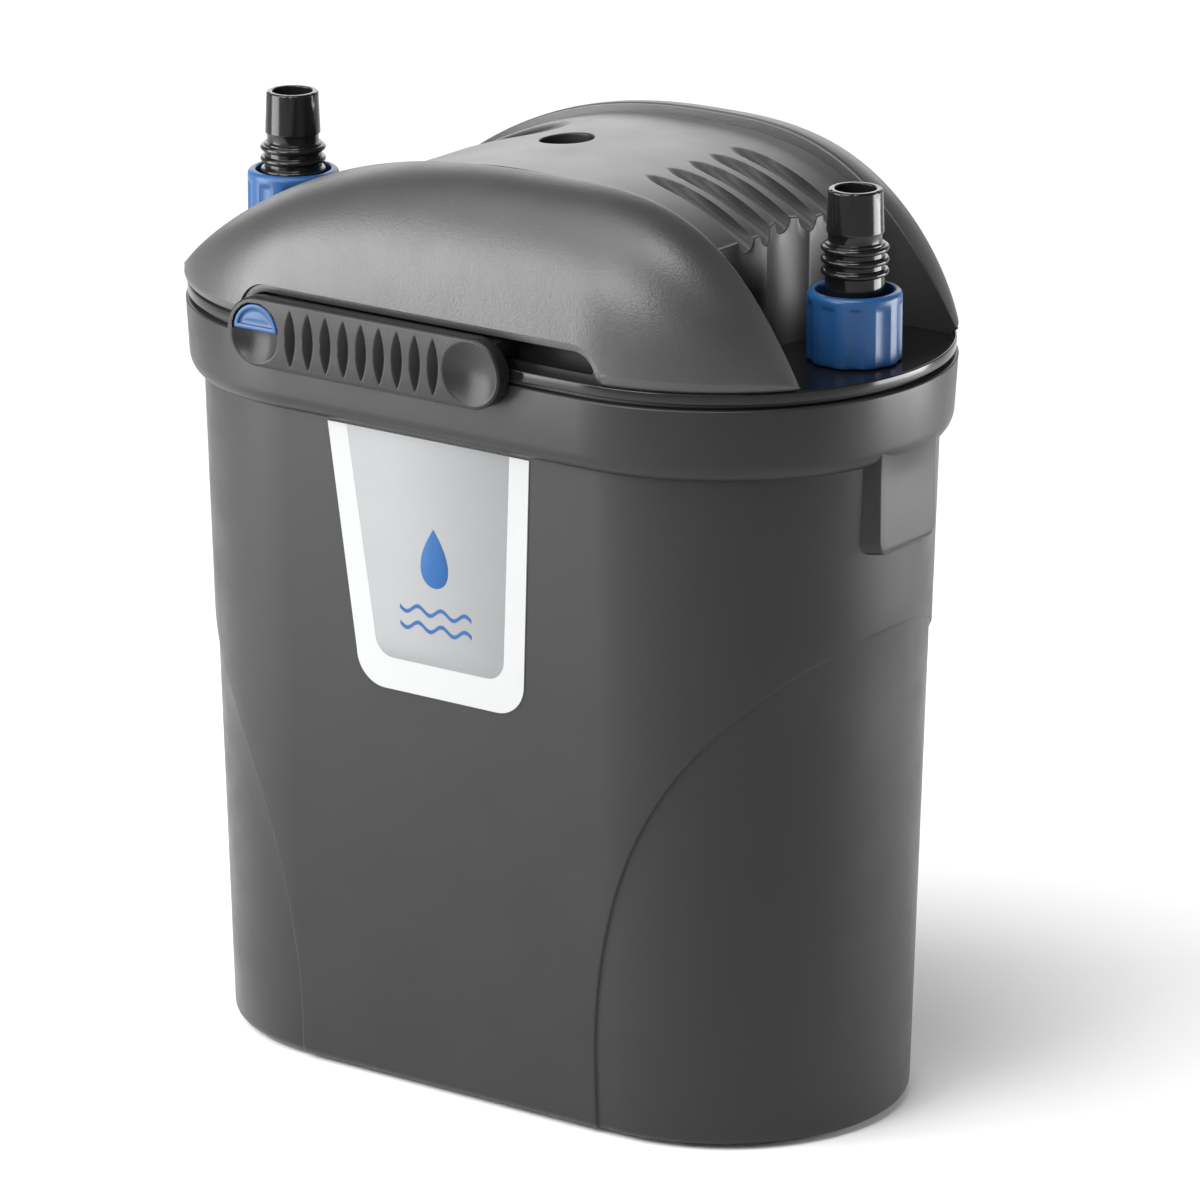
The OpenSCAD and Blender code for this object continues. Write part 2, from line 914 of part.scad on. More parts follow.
module hose_tail() {
    core_r = 8.6;
    neck_r = 7.65;
    barb_r = 8.3;
    barb_z = 268.8;
    color(black)
        union() {
            rotate_extrude()
                polygon([
                    [tail_bore_r, flange_z], [11.6, flange_z],
                    [11.6, flange_z + flange_h], [core_r, flange_z + flange_h],
                    [core_r, barb_z - 3], [neck_r, barb_z - 2.6],
                    [neck_r, barb_z], [barb_r, barb_z], [tail_r, barb_z + 4.2],
                    [tail_r, tail_top_z - 0.8], [tail_r - 0.8, tail_top_z],
                    [tail_bore_r, tail_top_z]
                ]);
            for (k = [0:2])
                torus(core_r + 0.35, 0.9, 257.4 + 3.45 * k);
        }
}

module inlet_hose_tail() {
    translate([-connector_x, 0, 0])
        hose_tail();
}

module outlet_hose_tail() {
    translate([connector_x, 0, 0])
        hose_tail();
}

// ---- pump ----

module motor_housing() {
    box_t = 2;
    rest_h = 5.5;
    color(dark)
        difference() {
            union() {
                difference() {
                    rounded_box(motor_l, motor_w, ledge_z, motor_top_z, 6);
                    rounded_box(
                        motor_l - 2 * box_t, motor_w - 2 * box_t,
                        ledge_z + box_t, motor_top_z + 1, 4
                    );
                }
                translate([0, 0, ledge_z + 1])
                    cylinder(r = well_r + well_t, h = well_top_z - ledge_z - 1);
                // Rests for the stator's legs
                for (side = [0, 1])
                    mirror([side, 0, 0])
                        translate([15, -10, ledge_z + box_t - 0.5])
                            cube([8, 34, rest_h]);
            }
            translate([0, 0, ledge_z - 1])
                cylinder(r = well_r, h = well_top_z - 1 - ledge_z);
        }
}

module motor_lid() {
    color(dark)
        difference() {
            union() {
                rounded_box(motor_l, motor_w, motor_top_z, lid_top_z, 6);
                translate([0, 0, motor_top_z - 3.2])
                    cylinder(r = 5, h = 4);
            }
            translate([0, 0, motor_top_z - 4])
                cylinder(r = 2.05, h = 10);
        }
}

// Laminated core: two poles beside the rotor's well, joined behind it.
module stator_core() {
    core_z = 238;
    core_h = 18;
    color(steel)
        difference() {
            translate([-24, -12, core_z])
                cube([48, 38, core_h]);
            translate([-14, -13, core_z - 1])
                cube([28, 30, core_h + 2]);
        }
}

module stator_coil() {
    color([0.72, 0.38, 0.18])
        difference() {
            translate([-11, 14.4, 235])
                cube([22, 13.5, 24]);
            translate([-12, 16.9, 237.9])
                cube([24, 9.2, 18.2]);
        }
}

module rotor_shaft() {
    color("white")
        translate([0, 0, 206.5])
            cylinder(r = shaft_r, h = 53.4);
}

module shaft_bush_upper() {
    color(black)
        tube(well_r - 0.1, shaft_r + 0.02, 256, 260);
}

module shaft_bush_lower() {
    color(black)
        tube(4.4, shaft_r + 0.02, 206, 210.5);
}

// Closes the impeller chamber. Water enters through the ring of holes in it.
module pump_cover() {
    cover_z = 205.4;
    color(dark)
        difference() {
            union() {
                translate([0, 0, cover_z])
                    cylinder(r = pump_r, h = pump_floor_z - cover_z);
                translate([0, 0, cover_z + 1])
                    cylinder(r = 6.5, h = 3.1);
            }
            translate([0, 0, cover_z + 0.6])
                cylinder(r = 4.45, h = 5);
            for (a = [0:60:300])
                rotate([0, 0, a])
                    translate([11, 0, cover_z - 1])
                        cylinder(r = 3.2, h = 6);
            for (a = [45:90:315])
                rotate([0, 0, a])
                    translate([pump_r - 1.5, 0, cover_z - 1])
                        cylinder(r = 0.95, h = 6);
        }
}

module pump_cover_screws() {
    head_h = 1;
    cover_z = 205.4;
    color(steel)
        for (a = [45:90:315])
            rotate([0, 0, a])
                translate([pump_r - 1.5, 0, cover_z - head_h]) {
                    cylinder(r = 1.4, h = head_h);
                    translate([0, 0, head_h - 0.4])
                        cylinder(r = 0.75, h = 7);
                }
}

module rotor_magnet() {
    color([0.20, 0.20, 0.22])
        tube(rotor_r, shaft_r + 0.05, magnet_z, 255);
}

module impeller() {
    hub_r = 6;
    blade_t = 1.4;
    blade_h = 10;
    color("white")
        difference() {
            union() {
                translate([0, 0, hub_z])
                    cylinder(r = hub_r, h = magnet_z - hub_z);
                for (k = [0:impeller_blades - 1])
                    rotate([0, 0, 360 * k / impeller_blades])
                        translate([hub_r - 1, -blade_t / 2, hub_z])
                            cube([impeller_r - hub_r + 1, blade_t, blade_h]);
            }
            translate([0, 0, hub_z - 1])
                cylinder(r = shaft_r + 0.05, h = magnet_z - hub_z + 2);
        }
}

// ---- baskets and media ----

// A basket with a slotted floor and a duct for the intake pipe.
module basket(z0, z1) {
    floor_t = 2;
    slot_w = 3.6;
    slot_l = 64;
    color(dark)
        difference() {
            union() {
                oval_wall(basket_l, basket_w, basket_wall, z0, z1);
                oval_slab(basket_l - 1, basket_w - 1, z0, z0 + floor_t);
                translate([pipe_x, 0, z0])
                    cylinder(r = duct_r, h = z1 - z0);
            }
            translate([pipe_x, 0, z0 - 1])
                cylinder(r = duct_r - 1.5, h = z1 - z0 + 2);
            for (x = [-70:10:80])
                translate([x - slot_w / 2, -slot_l / 2, z0 - 1])
                    cube([slot_w, slot_l, floor_t + 2]);
        }
}

// Anything that fills a basket from z0 to z1, with room for the duct.
module pad(z0, z1) {
    hole_r = duct_r + media_gap;
    inner_l = basket_l - 2 * basket_wall;
    inner_w = basket_w - 2 * basket_wall;
    difference() {
        oval_slab(inner_l - 2 * media_gap, inner_w - 2 * media_gap, z0, z1);
        translate([pipe_x, 0, z0 - 1])
            cylinder(r = hole_r, h = z1 - z0 + 2);
        translate([pipe_x - 20, -hole_r, z0 - 1])
            cube([20, 2 * hole_r, z1 - z0 + 2]);
    }
}

module lower_basket() {
    color(dark)
        union() {
            basket(basket_floor_z, basket_split_z);
            for (x = [-65, 65], y = [-30, 30])
                translate([x, y, tank_floor_z])
                    cylinder(r = 3, h = basket_floor_z - tank_floor_z + 1);
        }
}

module coarse_foam() {
    color([0.10, 0.25, 0.50])
        pad(basket_floor_z + 2.1, 57.9);
}

module fine_foam() {
    color([0.15, 0.15, 0.16])
        pad(58, basket_split_z - 2.1);
}

module upper_basket() {
    basket(basket_split_z, basket_top_z);
}

// Sintered rings for bacteria, standing in two layers.
module bio_rings() {
    first_z = basket_split_z + 2.1;
    reach = 46;
    centre_x = 56;
    color([0.82, 0.76, 0.66])
        for (x = [-66:ring_pitch:88], y = [-33:ring_pitch:33])
            if (norm([max(0, abs(x) - centre_x), y]) + ring_pitch / 2 < reach)
                for (layer = [0, 1])
                    translate([x, y, first_z + layer * (ring_h + 0.2)])
                        tube(10.5, 5.5, 0, ring_h);
}

module polishing_pad() {
    color([0.93, 0.93, 0.93])
        pad(basket_split_z + 38.6, 178);
}

// Bar across the upper basket to lift it by, held in an ear on each long wall.
module basket_handle() {
    bar_z = 191;
    inner_y = basket_w / 2 - basket_wall;
    color(blue)
        union() {
            y_cylinder(3, 0, bar_z, 0.1 - inner_y, inner_y - 0.1);
            for (side = [0, 180])
                rotate([0, 0, side])
                    translate([-7, inner_y - 2.6, bar_z - 5])
                        cube([14, 2.5, 10]);
        }
}

tank();
rubber_feet();
label_border();
label_face();
label_mark();
head_base();
head_seal();
plug_seal();
front_shell();
rear_shell();
bridge_cover();
centre_screw();
cover_screws();
front_latch_rail();
rear_latch_rail();
cable_gland();
motor_housing();
motor_lid();
stator_core();
stator_coil();
rotor_shaft();
shaft_bush_upper();
shaft_bush_lower();
pump_cover();
pump_cover_screws();
inlet_washer();
outlet_washer();
intake_pipe();
rotor_magnet();
impeller();
front_latch();
rear_latch();
front_latch_button();
rear_latch_button();
front_button_spring();
rear_button_spring();
inlet_union_nut();
outlet_union_nut();
inlet_hose_tail();
outlet_hose_tail();
lower_basket();
coarse_foam();
fine_foam();
upper_basket();
bio_rings();
polishing_pad();
basket_handle();
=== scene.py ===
"""The looks of the canister filter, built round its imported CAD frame.

Lengths and places are millimetres in the row frame; add_piece() turns them into metres.
"""
import math

import bmesh
import bpy
import numpy as np
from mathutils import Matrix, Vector


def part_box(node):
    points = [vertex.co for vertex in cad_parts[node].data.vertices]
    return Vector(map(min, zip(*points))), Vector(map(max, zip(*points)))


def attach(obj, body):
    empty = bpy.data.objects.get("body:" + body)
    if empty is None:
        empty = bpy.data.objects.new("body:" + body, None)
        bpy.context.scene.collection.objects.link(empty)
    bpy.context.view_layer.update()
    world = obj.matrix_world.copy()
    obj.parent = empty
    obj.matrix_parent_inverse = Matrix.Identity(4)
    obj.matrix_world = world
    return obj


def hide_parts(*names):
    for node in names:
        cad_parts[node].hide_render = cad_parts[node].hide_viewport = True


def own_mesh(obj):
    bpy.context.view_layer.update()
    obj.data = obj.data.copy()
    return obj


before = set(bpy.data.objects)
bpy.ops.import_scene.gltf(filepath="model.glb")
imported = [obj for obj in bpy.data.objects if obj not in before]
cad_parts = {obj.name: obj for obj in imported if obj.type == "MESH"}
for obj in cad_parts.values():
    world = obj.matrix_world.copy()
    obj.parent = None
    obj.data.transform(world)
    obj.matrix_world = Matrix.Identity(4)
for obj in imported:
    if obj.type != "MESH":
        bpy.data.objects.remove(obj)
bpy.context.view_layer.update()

MM = 0.001
SLIVER = 0.0005                         # edges shorter than this are dissolved


def node_box(node):
    """Lowest and highest corner of a CAD node in millimetres."""
    low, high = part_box(node)
    return np.array(low) / MM, np.array(high) / MM


# ---- sizes that the frame gives ----

tank_low, tank_high = node_box("tank")
shell_high = node_box("front_shell")[1]
bar_low, bar_high = node_box("front_latch")
tail_low, tail_high = node_box("outlet_hose_tail")
nut_low, nut_high = node_box("outlet_union_nut")
rail_low, rail_high = node_box("front_latch_rail")

RIM_FLARE, LIP_GAP, LEDGE_H = 1.1, 0.3, 2.4
RIM_HALF_L = tank_high[0]
COLLAR_HALF_L = RIM_HALF_L - RIM_FLARE
RIM_Z = tank_high[2]
LEDGE_HALF_L, LEDGE_HALF_W = node_box("head_base")[1][:2]
COLLAR_HALF_W = LEDGE_HALF_W + LIP_GAP
SEAL_Z = node_box("head_seal")[1][2]
LEDGE_Z = SEAL_Z + LEDGE_H
RIDGE_Y = -shell_high[1]
BRIDGE_X = node_box("bridge_cover")[1][0]
CONNECTOR_X = (tail_low[0] + tail_high[0]) / 2

# ---- sizes of the tank's wall ----

FOOT_HALF_L, FOOT_HALF_W = 113.6, 56.5
TOP_HALF_L, TOP_HALF_W = 119.2, 63.3
COLLAR_Z = 205.0
FOOT_Z = tank_low[2]
FOOT_ROUND = 3.0
WALL = 3.0
FLOOR_Z = 4.4
COLLAR_T, COLLAR_ROUND, SEAT_DROP = 6.0, 6.0, 11.2
KEEPER_XS = (-22, 18)
FEET_X, FEET_Y = 78, 34
# half width, half height above its legs, and height of the legs of each end's recess
RECESS = {1: (99.2, 132.0, 22.0), -1: (94.0, 132.0, 10.0)}
RECESS_DEPTH = 0.8
END_R, END_C = 60.0, 56.5               # the oval that the perimeter coordinate is measured on
OVAL_STEP = 2.4                         # spacing of an oval's points round its ends
QUARTER = END_R * math.pi / 2
HALF_SIDE = QUARTER + END_C


# ---- mesh building ----

class Soup:
    """Vertices and faces gathered from several grids, with a material number for each face."""

    def __init__(self):
        self.verts, self.faces, self.numbers, self.count = [], [], [], 0

    def add(self, verts, faces, number=0):
        verts = np.asarray(verts, float).reshape(-1, 3)
        self.verts.append(verts)
        self.faces += [[i + self.count for i in f] for f in faces]
        self.numbers += [number] * len(faces)
        self.count += len(verts)

    def grid(self, points, number=0, close=False):
        """A sheet of quads through an array of points, rows by columns by 3."""
        points = np.asarray(points, float)
        rows, cols = points.shape[:2]
        faces = []
        for r in range(rows - 1):
            for c in range(cols if close else cols - 1):
                d = (c + 1) % cols
                faces.append([r * cols + c, r * cols + d, (r + 1) * cols + d, (r + 1) * cols + c])
        self.add(points, faces, number)

    def loft(self, rings, start=True, end=True):
        """Closed rings joined one after the other, with a flat face over each open end."""
        rings = np.asarray(rings, float)
        self.grid(rings, close=True)
        n = rings.shape[1]
        if start:
            self.add(rings[0], [list(range(n))[::-1]])
        if end:
            self.add(rings[-1], [list(range(n))])


def add_piece(name, soup, materials, body, nodes=(), sharp=38.0, weld=0.004):
    """Makes the mesh, joins what meets, turns every face outwards, sets its materials, parents the
    piece to its body and hides the CAD nodes it stands for."""
    mesh = bpy.data.meshes.new(name)
    mesh.from_pydata((np.concatenate(soup.verts) * MM).tolist(), [], soup.faces)
    for material in materials:
        mesh.materials.append(material)
    mesh.polygons.foreach_set("material_index", soup.numbers)
    work = bmesh.new()
    work.from_mesh(mesh)
    bmesh.ops.remove_doubles(work, verts=work.verts, dist=weld * MM)
    bmesh.ops.dissolve_degenerate(work, edges=work.edges, dist=SLIVER * MM)
    bmesh.ops.recalc_face_normals(work, faces=work.faces)
    work.to_mesh(mesh)
    work.free()
    mesh.shade_smooth()
    mesh.set_sharp_from_angle(angle=math.radians(sharp))
    obj = bpy.data.objects.new(name, mesh)
    bpy.context.scene.collection.objects.link(obj)
    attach(obj, body)
    if nodes:
        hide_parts(*nodes)
    return obj


def turned(soup, profile, centre, steps=96, radius_change=None):
    """A closed turned shape. profile is radius and height, and comes back to where it started."""
    angles = np.linspace(0, 2 * math.pi, steps, endpoint=False)
    rings = []
    for radius, z in [*profile, profile[0]]:
        r = radius + (radius_change(angles, radius, z) if radius_change else 0)
        rings.append(np.stack([centre[0] + r * np.cos(angles), centre[1] + r * np.sin(angles),
                               np.full(steps, centre[2] + z)], 1))
    soup.loft(rings, start=False, end=False)


def arc(cx, cy, r, a0, a1, steps):
    """Points of a circle's arc, in degrees."""
    return [(cx + r * math.cos(math.radians(a)), cy + r * math.sin(math.radians(a)))
            for a in np.linspace(a0, a1, steps + 1)]


def round_box(x0, x1, y0, y1, r, steps):
    """Outline of a rectangle with round corners, from its right side anticlockwise."""
    return np.array(
        arc(x1 - r, y1 - r, r, 0, 90, steps) + arc(x0 + r, y1 - r, r, 90, 180, steps)
        + arc(x0 + r, y0 + r, r, 180, 270, steps) + arc(x1 - r, y0 + r, r, 270, 360, steps))


def ease(x):
    """A smooth rise from 0 to 1."""
    x = np.clip(x, 0, 1)
    return x * x * (3 - 2 * x)


# ---- ovals ----

def oval_points(half_l, half_w, z, ends, along, depth=0.0):
    """Points of an oval. ends is +1 or -1 for the end a point belongs to, and along is its distance
    from the middle of that end on the reference oval."""
    ends, along = np.asarray(ends, float), np.asarray(along, float)
    r, c = half_w - depth, half_l - half_w
    angle = np.clip(along / END_R, -math.pi / 2, math.pi / 2)
    past = np.maximum(0, np.abs(along) - QUARTER) / END_C
    x = (c * (1 - past) + r * np.cos(angle)) * ends
    y = r * np.sin(angle)
    return np.stack([x, y, np.broadcast_to(z, x.shape)], -1)


def oval_columns():
    """ends and along for a full turn, anticlockwise from above."""
    n_arc = int(round(2 * QUARTER / OVAL_STEP))
    along = np.concatenate([
        np.linspace(-HALF_SIDE, -QUARTER, 5)[:-1],
        np.linspace(-QUARTER, QUARTER, n_arc + 1),
        np.linspace(QUARTER, HALF_SIDE, 5)[1:-1]])
    return (np.concatenate([np.ones(len(along)), -np.ones(len(along))]),
            np.concatenate([along, -along]))


def oval_loft(soup, profile, start=True, end=True):
    """profile is half length, half width and height for each ring."""
    ends, along = oval_columns()
    soup.loft([oval_points(hl, hw, z, ends, along) for hl, hw, z in profile], start, end)


# ---- materials ----

def feed(tree, socket, value):
    """Sets a socket, or links it when the value is another node's output."""
    if isinstance(value, bpy.types.NodeSocket):
        tree.links.new(value, socket)
    else:
        socket.default_value = value


def feed_all(tree, node, **values):
    for name, value in values.items():
        feed(tree, node.inputs[name.replace("_", " ")], value)
    return node


def new_node(tree, kind, **values):
    """A new node with some of its inputs fed."""
    return feed_all(tree, tree.nodes.new("ShaderNode" + kind), **values)


def noise(tree, coords, scale, detail=3.0):
    n = new_node(tree, "TexNoise", Vector=coords, Scale=scale, Detail=detail, Roughness=0.55)
    return n.outputs["Fac"]


def spread(tree, value, low, high, from_low=0.3, from_high=0.7):
    """Maps a noise to a range."""
    m = new_node(tree, "MapRange", Value=value, From_Min=from_low, From_Max=from_high, To_Min=low,
                 To_Max=high)
    return m.outputs["Result"]


def bump(tree, height, strength, distance, **normal):
    b = new_node(tree, "Bump", Height=height, Strength=strength, Distance=distance, **normal)
    return b.outputs["Normal"]


def math_node(tree, operation, *values):
    n = new_node(tree, "Math")
    n.operation = operation
    for socket, value in zip(n.inputs, values):
        feed(tree, socket, value)
    return n.outputs["Value"]


def start_material(name):
    m = bpy.data.materials.new(name)
    m.use_nodes = True
    tree = m.node_tree
    coords = new_node(tree, "TexCoord").outputs["Object"]
    return m, tree, tree.nodes["Principled BSDF"], coords


def scaled(colour, share):
    return tuple(c * share for c in colour)


def blend_colour(tree, factor, dark, light):
    """Goes from dark to light, each of them a colour or another node's output."""
    mix = new_node(tree, "Mix")
    mix.data_type = "RGBA"
    dark, light = ((*c, 1) if isinstance(c, tuple) else c for c in (dark, light))
    return feed_all(tree, mix, Factor=factor, A=dark, B=light).outputs["Result"]


def plastic(name, colour, rough, vary=0.06, rough_vary=0.06, grain=1800.0, grain_depth=0.03,
            metallic=0.0, specular=0.5, coat=0.0, wave=0.0, upright_shade_share=1.0):
    """Moulded plastic: flow marks in colour and gloss, a fine spark-eroded grain, and slight sink.
    The share of colour left on upright faces is painted shade: they come out darker than faces
    turned up, as if lit from above."""
    m, tree, shader, coords = start_material(name)
    flow = noise(tree, coords, 14.0, 4.0)
    speck = noise(tree, coords, 420.0, 2.0)
    marks = math_node(tree, "MULTIPLY_ADD", speck, 0.6, spread(tree, flow, -0.2, 0.6))
    shade = blend_colour(tree, marks, scaled(colour, 1 - vary), scaled(colour, 1 + vary))
    # painted shade: upright faces get darker colour than faces turned up, as if lit only from above
    if upright_shade_share < 1:
        normals = new_node(tree, "NewGeometry").outputs["Normal"]
        facing = new_node(tree, "SeparateXYZ", Vector=normals)
        painted_upright_shade = blend_colour(tree, speck, scaled(colour, upright_shade_share * 0.9), scaled(colour, upright_shade_share))
        shade = blend_colour(tree, spread(tree, facing.outputs["Z"], 0.0, 1.0, 0.72, 0.97),
                             painted_upright_shade, shade)
    gloss = spread(tree, noise(tree, coords, 60.0, 5.0), rough - rough_vary, rough + rough_vary)
    normal = bump(tree, noise(tree, coords, grain, 2.0), 0.5, grain_depth * MM)
    normal = bump(tree, noise(tree, coords, grain / 4, 3.0), 0.25, grain_depth * 2 * MM,
                  Normal=normal)
    if wave:
        normal = bump(tree, noise(tree, coords, 22.0, 1.0), 0.3, wave * MM, Normal=normal)
    feed_all(tree, shader, Base_Color=shade, Roughness=gloss, Normal=normal, Metallic=metallic,
             Specular_IOR_Level=specular, Coat_Weight=coat, Coat_Roughness=0.12)
    return m


def metal(name, colour, rough, brush=(900.0, 900.0, 60.0)):
    """Metal with fine lines along one direction and patchy gloss."""
    m, tree, shader, coords = start_material(name)
    mapping = new_node(tree, "Mapping", Vector=coords, Scale=brush)
    lines = noise(tree, mapping.outputs["Vector"], 1.0, 2.0)
    patches = noise(tree, coords, 130.0, 4.0)
    feed_all(tree, shader, Metallic=1.0,
             Base_Color=blend_colour(tree, patches, scaled(colour, 0.85), colour),
             Roughness=spread(tree, lines, rough * 0.7, rough * 1.4),
             Normal=bump(tree, lines, 0.3, 0.02 * MM))
    return m


def foam(name, colour, cell):
    """Open-cell foam: pores painted dark as shade in the holes, between lighter struts."""
    m, tree, shader, coords = start_material(name)
    cells = new_node(tree, "TexVoronoi", Vector=coords, Scale=cell)
    cells.feature = "DISTANCE_TO_EDGE"
    edge = spread(tree, cells.outputs["Distance"], 1.0, 0.0, 0.02, 0.35)
    normal = bump(tree, noise(tree, coords, 900.0), 0.4, 0.3 * MM,
                  Normal=bump(tree, edge, 0.9, 0.8 * MM))
    # painted shade: the pores get a quarter of the foam's colour, the struts its full colour
    feed_all(tree, shader, Normal=normal, Sheen_Weight=0.2,
             Base_Color=blend_colour(tree, edge, scaled(colour, 0.25), colour),
             Roughness=spread(tree, noise(tree, coords, 300.0), 0.75, 0.95))
    return m


def fibre(name, colour):
    """A loose fibre pad: crossing streaks of thread."""
    m, tree, shader, coords = start_material(name)
    total = None
    for turn in (0.4, 1.9, 2.8):
        mapping = new_node(tree, "Mapping", Vector=coords, Rotation=(turn, turn * 0.7, turn),
                           Scale=(1500.0, 90.0, 400.0))
        streak = noise(tree, mapping.outputs["Vector"], 1.0, 2.0)
        total = math_node(tree, "MAXIMUM", total, streak) if total else streak
    feed_all(tree, shader, Sheen_Weight=0.4,
             Base_Color=blend_colour(tree, total, scaled(colour, 0.6), colour),
             Normal=bump(tree, total, 0.8, 0.5 * MM), Roughness=spread(tree, total, 0.95, 0.8))
    return m


tank_grey = plastic("tank_grey", (0.0165, 0.0168, 0.0175), 0.36, specular=0.27, grain=2200.0,
                    grain_depth=0.02, wave=0.05)
shell_grey = plastic("shell_grey", (0.032, 0.032, 0.033), 0.38, vary=0.12, rough_vary=0.035,
                     grain=1500.0, grain_depth=0.1, specular=0.55)
# painted shade: the bridge's end walls and groove sides keep only 12% of its colour
bridge_grey = plastic("bridge_grey", (0.135, 0.136, 0.14), 0.38, vary=0.04, rough_vary=0.025,
                      grain=2000.0, metallic=0.35, specular=0.3, upright_shade_share=0.12)
latch_grey = plastic("latch_grey", (0.013, 0.013, 0.0135), 0.30, vary=0.1, grain=1700.0,
                     grain_depth=0.03, specular=0.22)
gloss_black = plastic("gloss_black", (0.007, 0.007, 0.0075), 0.16, specular=0.35,
                      rough_vary=0.05, grain=900.0, grain_depth=0.004, wave=0.06)
matt_black = plastic("matt_black", (0.006, 0.006, 0.0065), 0.5, grain=1600.0, specular=0.25)
rubber_black = plastic("rubber_black", (0.018, 0.018, 0.018), 0.7, grain=1300.0, grain_depth=0.05)
nut_blue = plastic("nut_blue", (0.013, 0.062, 0.175), 0.34, vary=0.1, grain=1500.0,
                   grain_depth=0.02, specular=0.35)
button_blue = plastic("button_blue", (0.010, 0.05, 0.14), 0.25, vary=0.08, grain=1500.0,
                      grain_depth=0.01, specular=0.3)
inner_black = plastic("inner_black", (0.03, 0.03, 0.033), 0.5, vary=0.15, grain=1200.0)
white_plastic = plastic("white_plastic", (0.78, 0.78, 0.75), 0.42)
ceramic_white = plastic("ceramic_white", (0.84, 0.83, 0.79), 0.12, grain=3000.0, grain_depth=0.005,
                        coat=0.5)
label_white = plastic("label_white", (0.36, 0.365, 0.368), 0.5, vary=0.02, grain=1000.0,
                      grain_depth=0.006, specular=0.2)
label_silver = plastic("label_silver", (0.215, 0.218, 0.222), 0.5, vary=0.03, rough_vary=0.04,
                       grain=2600.0, grain_depth=0.01, specular=0.25)
label_ink = plastic("label_ink", (0.012, 0.07, 0.20), 0.45, vary=0.05, grain_depth=0.004,
                    specular=0.2)
steel = metal("steel", (0.75, 0.75, 0.74), 0.34)
lamination = metal("lamination", (0.30, 0.30, 0.31), 0.45, (60.0, 60.0, 2600.0))
copper = metal("copper", (0.62, 0.28, 0.12), 0.3, (120.0, 2400.0, 2400.0))
ferrite = plastic("ferrite", (0.05, 0.05, 0.055), 0.4, metallic=0.4, grain=900.0, grain_depth=0.04)
sintered = plastic("sintered", (0.56, 0.47, 0.36), 0.9, vary=0.25, grain=500.0, grain_depth=0.35)
foam_blue = foam("foam_blue", (0.03, 0.09, 0.30), 420.0)
foam_black = foam("foam_black", (0.05, 0.05, 0.055), 800.0)
floss_white = fibre("floss_white", (0.85, 0.86, 0.85))


# ---- tank ----

def wall_half_l(z):
    return FOOT_HALF_L + (TOP_HALF_L - FOOT_HALF_L) * z / COLLAR_Z


def wall_half_w(z):
    return FOOT_HALF_W + (TOP_HALF_W - FOOT_HALF_W) * z / COLLAR_Z


def wall_points(end, along, z, depth):
    """Points of the tapered wall, depth under its surface."""
    along, z = np.broadcast_arrays(np.asarray(along, float), np.asarray(z, float))
    return oval_points(wall_half_l(z), wall_half_w(z), z, np.full(along.shape, float(end)), along,
                       depth)


# how far outside the recess's outline, and how deep, each line of the step round it lies
STEP = [(0.9, 0.0), (0.42, 0.03), (0.16, 0.14), (0.05, 0.34), (-0.05, 0.58), (-0.22, 0.74),
        (-0.6, RECESS_DEPTH)]
ARC_STEPS, LEG_ROWS, HIGH_ROWS, SIDE_COLUMNS = 132, 6, 8, 14
WALL_LOW_Z = FOOT_Z + FOOT_ROUND
MIDDLE_LEG = (RECESS[1][2] + RECESS[-1][2]) / 2


def recess_line(end, outside):
    """Along and height of the recess's outline at one end, moved outwards."""
    half, rise, leg = RECESS[end]
    phi = np.linspace(-math.pi / 2, math.pi / 2, ARC_STEPS + 1)
    n = np.stack([np.sin(phi) / half, np.cos(phi) / rise], 1)
    n /= np.linalg.norm(n, axis=1)[:, None]
    return half * np.sin(phi) + outside * n[:, 0], leg + rise * np.cos(phi) + outside * n[:, 1]


def tank_end(soup, end):
    """The outside wall of one half of the tank, with the recess in its end. Returns the columns of
    its lowest and highest rows."""
    leg = RECESS[end][2]
    leg_z = np.linspace(WALL_LOW_Z, leg, LEG_ROWS + 1)
    lines = []
    for outside, depth in STEP:
        along, z = recess_line(end, outside)
        left = np.full(LEG_ROWS, along[0])
        line_s = np.concatenate([left, along, -left])
        line_z = np.concatenate([leg_z[:-1], z, leg_z[:-1][::-1]])
        lines.append(wall_points(end, line_s, line_z, depth))
    soup.grid(lines)
    # recessed panel
    along, z = recess_line(end, STEP[-1][0])
    low_rows = np.linspace(0, 1, LEG_ROWS + 1)[:, None]
    soup.grid(wall_points(end, np.broadcast_to(along, (LEG_ROWS + 1, len(along))),
                          WALL_LOW_Z + (z - WALL_LOW_Z) * low_rows, RECESS_DEPTH))
    # wall above the recess
    out_s, out_z = recess_line(end, STEP[0][0])
    rows = np.linspace(0, 1, HIGH_ROWS + 1)[:, None]
    soup.grid(wall_points(end, np.broadcast_to(out_s, (HIGH_ROWS + 1, len(out_s))),
                          out_z + (COLLAR_Z - out_z) * rows, 0.0))
    # wall beside the recess, as far as the middle of the long side
    share = np.linspace(0, 1, SIDE_COLUMNS)
    side_s = out_s[-1] + (HALF_SIDE - out_s[-1]) * share
    side_leg = leg + (MIDDLE_LEG - leg) * share
    side_z = np.concatenate([
        WALL_LOW_Z + (side_leg - WALL_LOW_Z) * low_rows,
        (side_leg + (COLLAR_Z - side_leg) * rows)[1:]])
    for sign in (1, -1):
        soup.grid(wall_points(end, np.broadcast_to(side_s * sign, side_z.shape), side_z, 0.0))
    step_s = np.array([recess_line(end, o)[0][-1] for o, _ in STEP])
    step_d = np.array([d for _, d in STEP])
    low_s = np.concatenate([-side_s[::-1], -step_s[1:], along[1:-1], step_s[::-1][:-1], side_s])
    flat = np.zeros(SIDE_COLUMNS)
    low_d = np.concatenate([flat, step_d[1:], np.full(len(along) - 2, RECESS_DEPTH),
                            step_d[::-1][:-1], flat])
    high_s = np.concatenate([-side_s[::-1], out_s[1:-1], side_s])
    return low_s, low_d, high_s


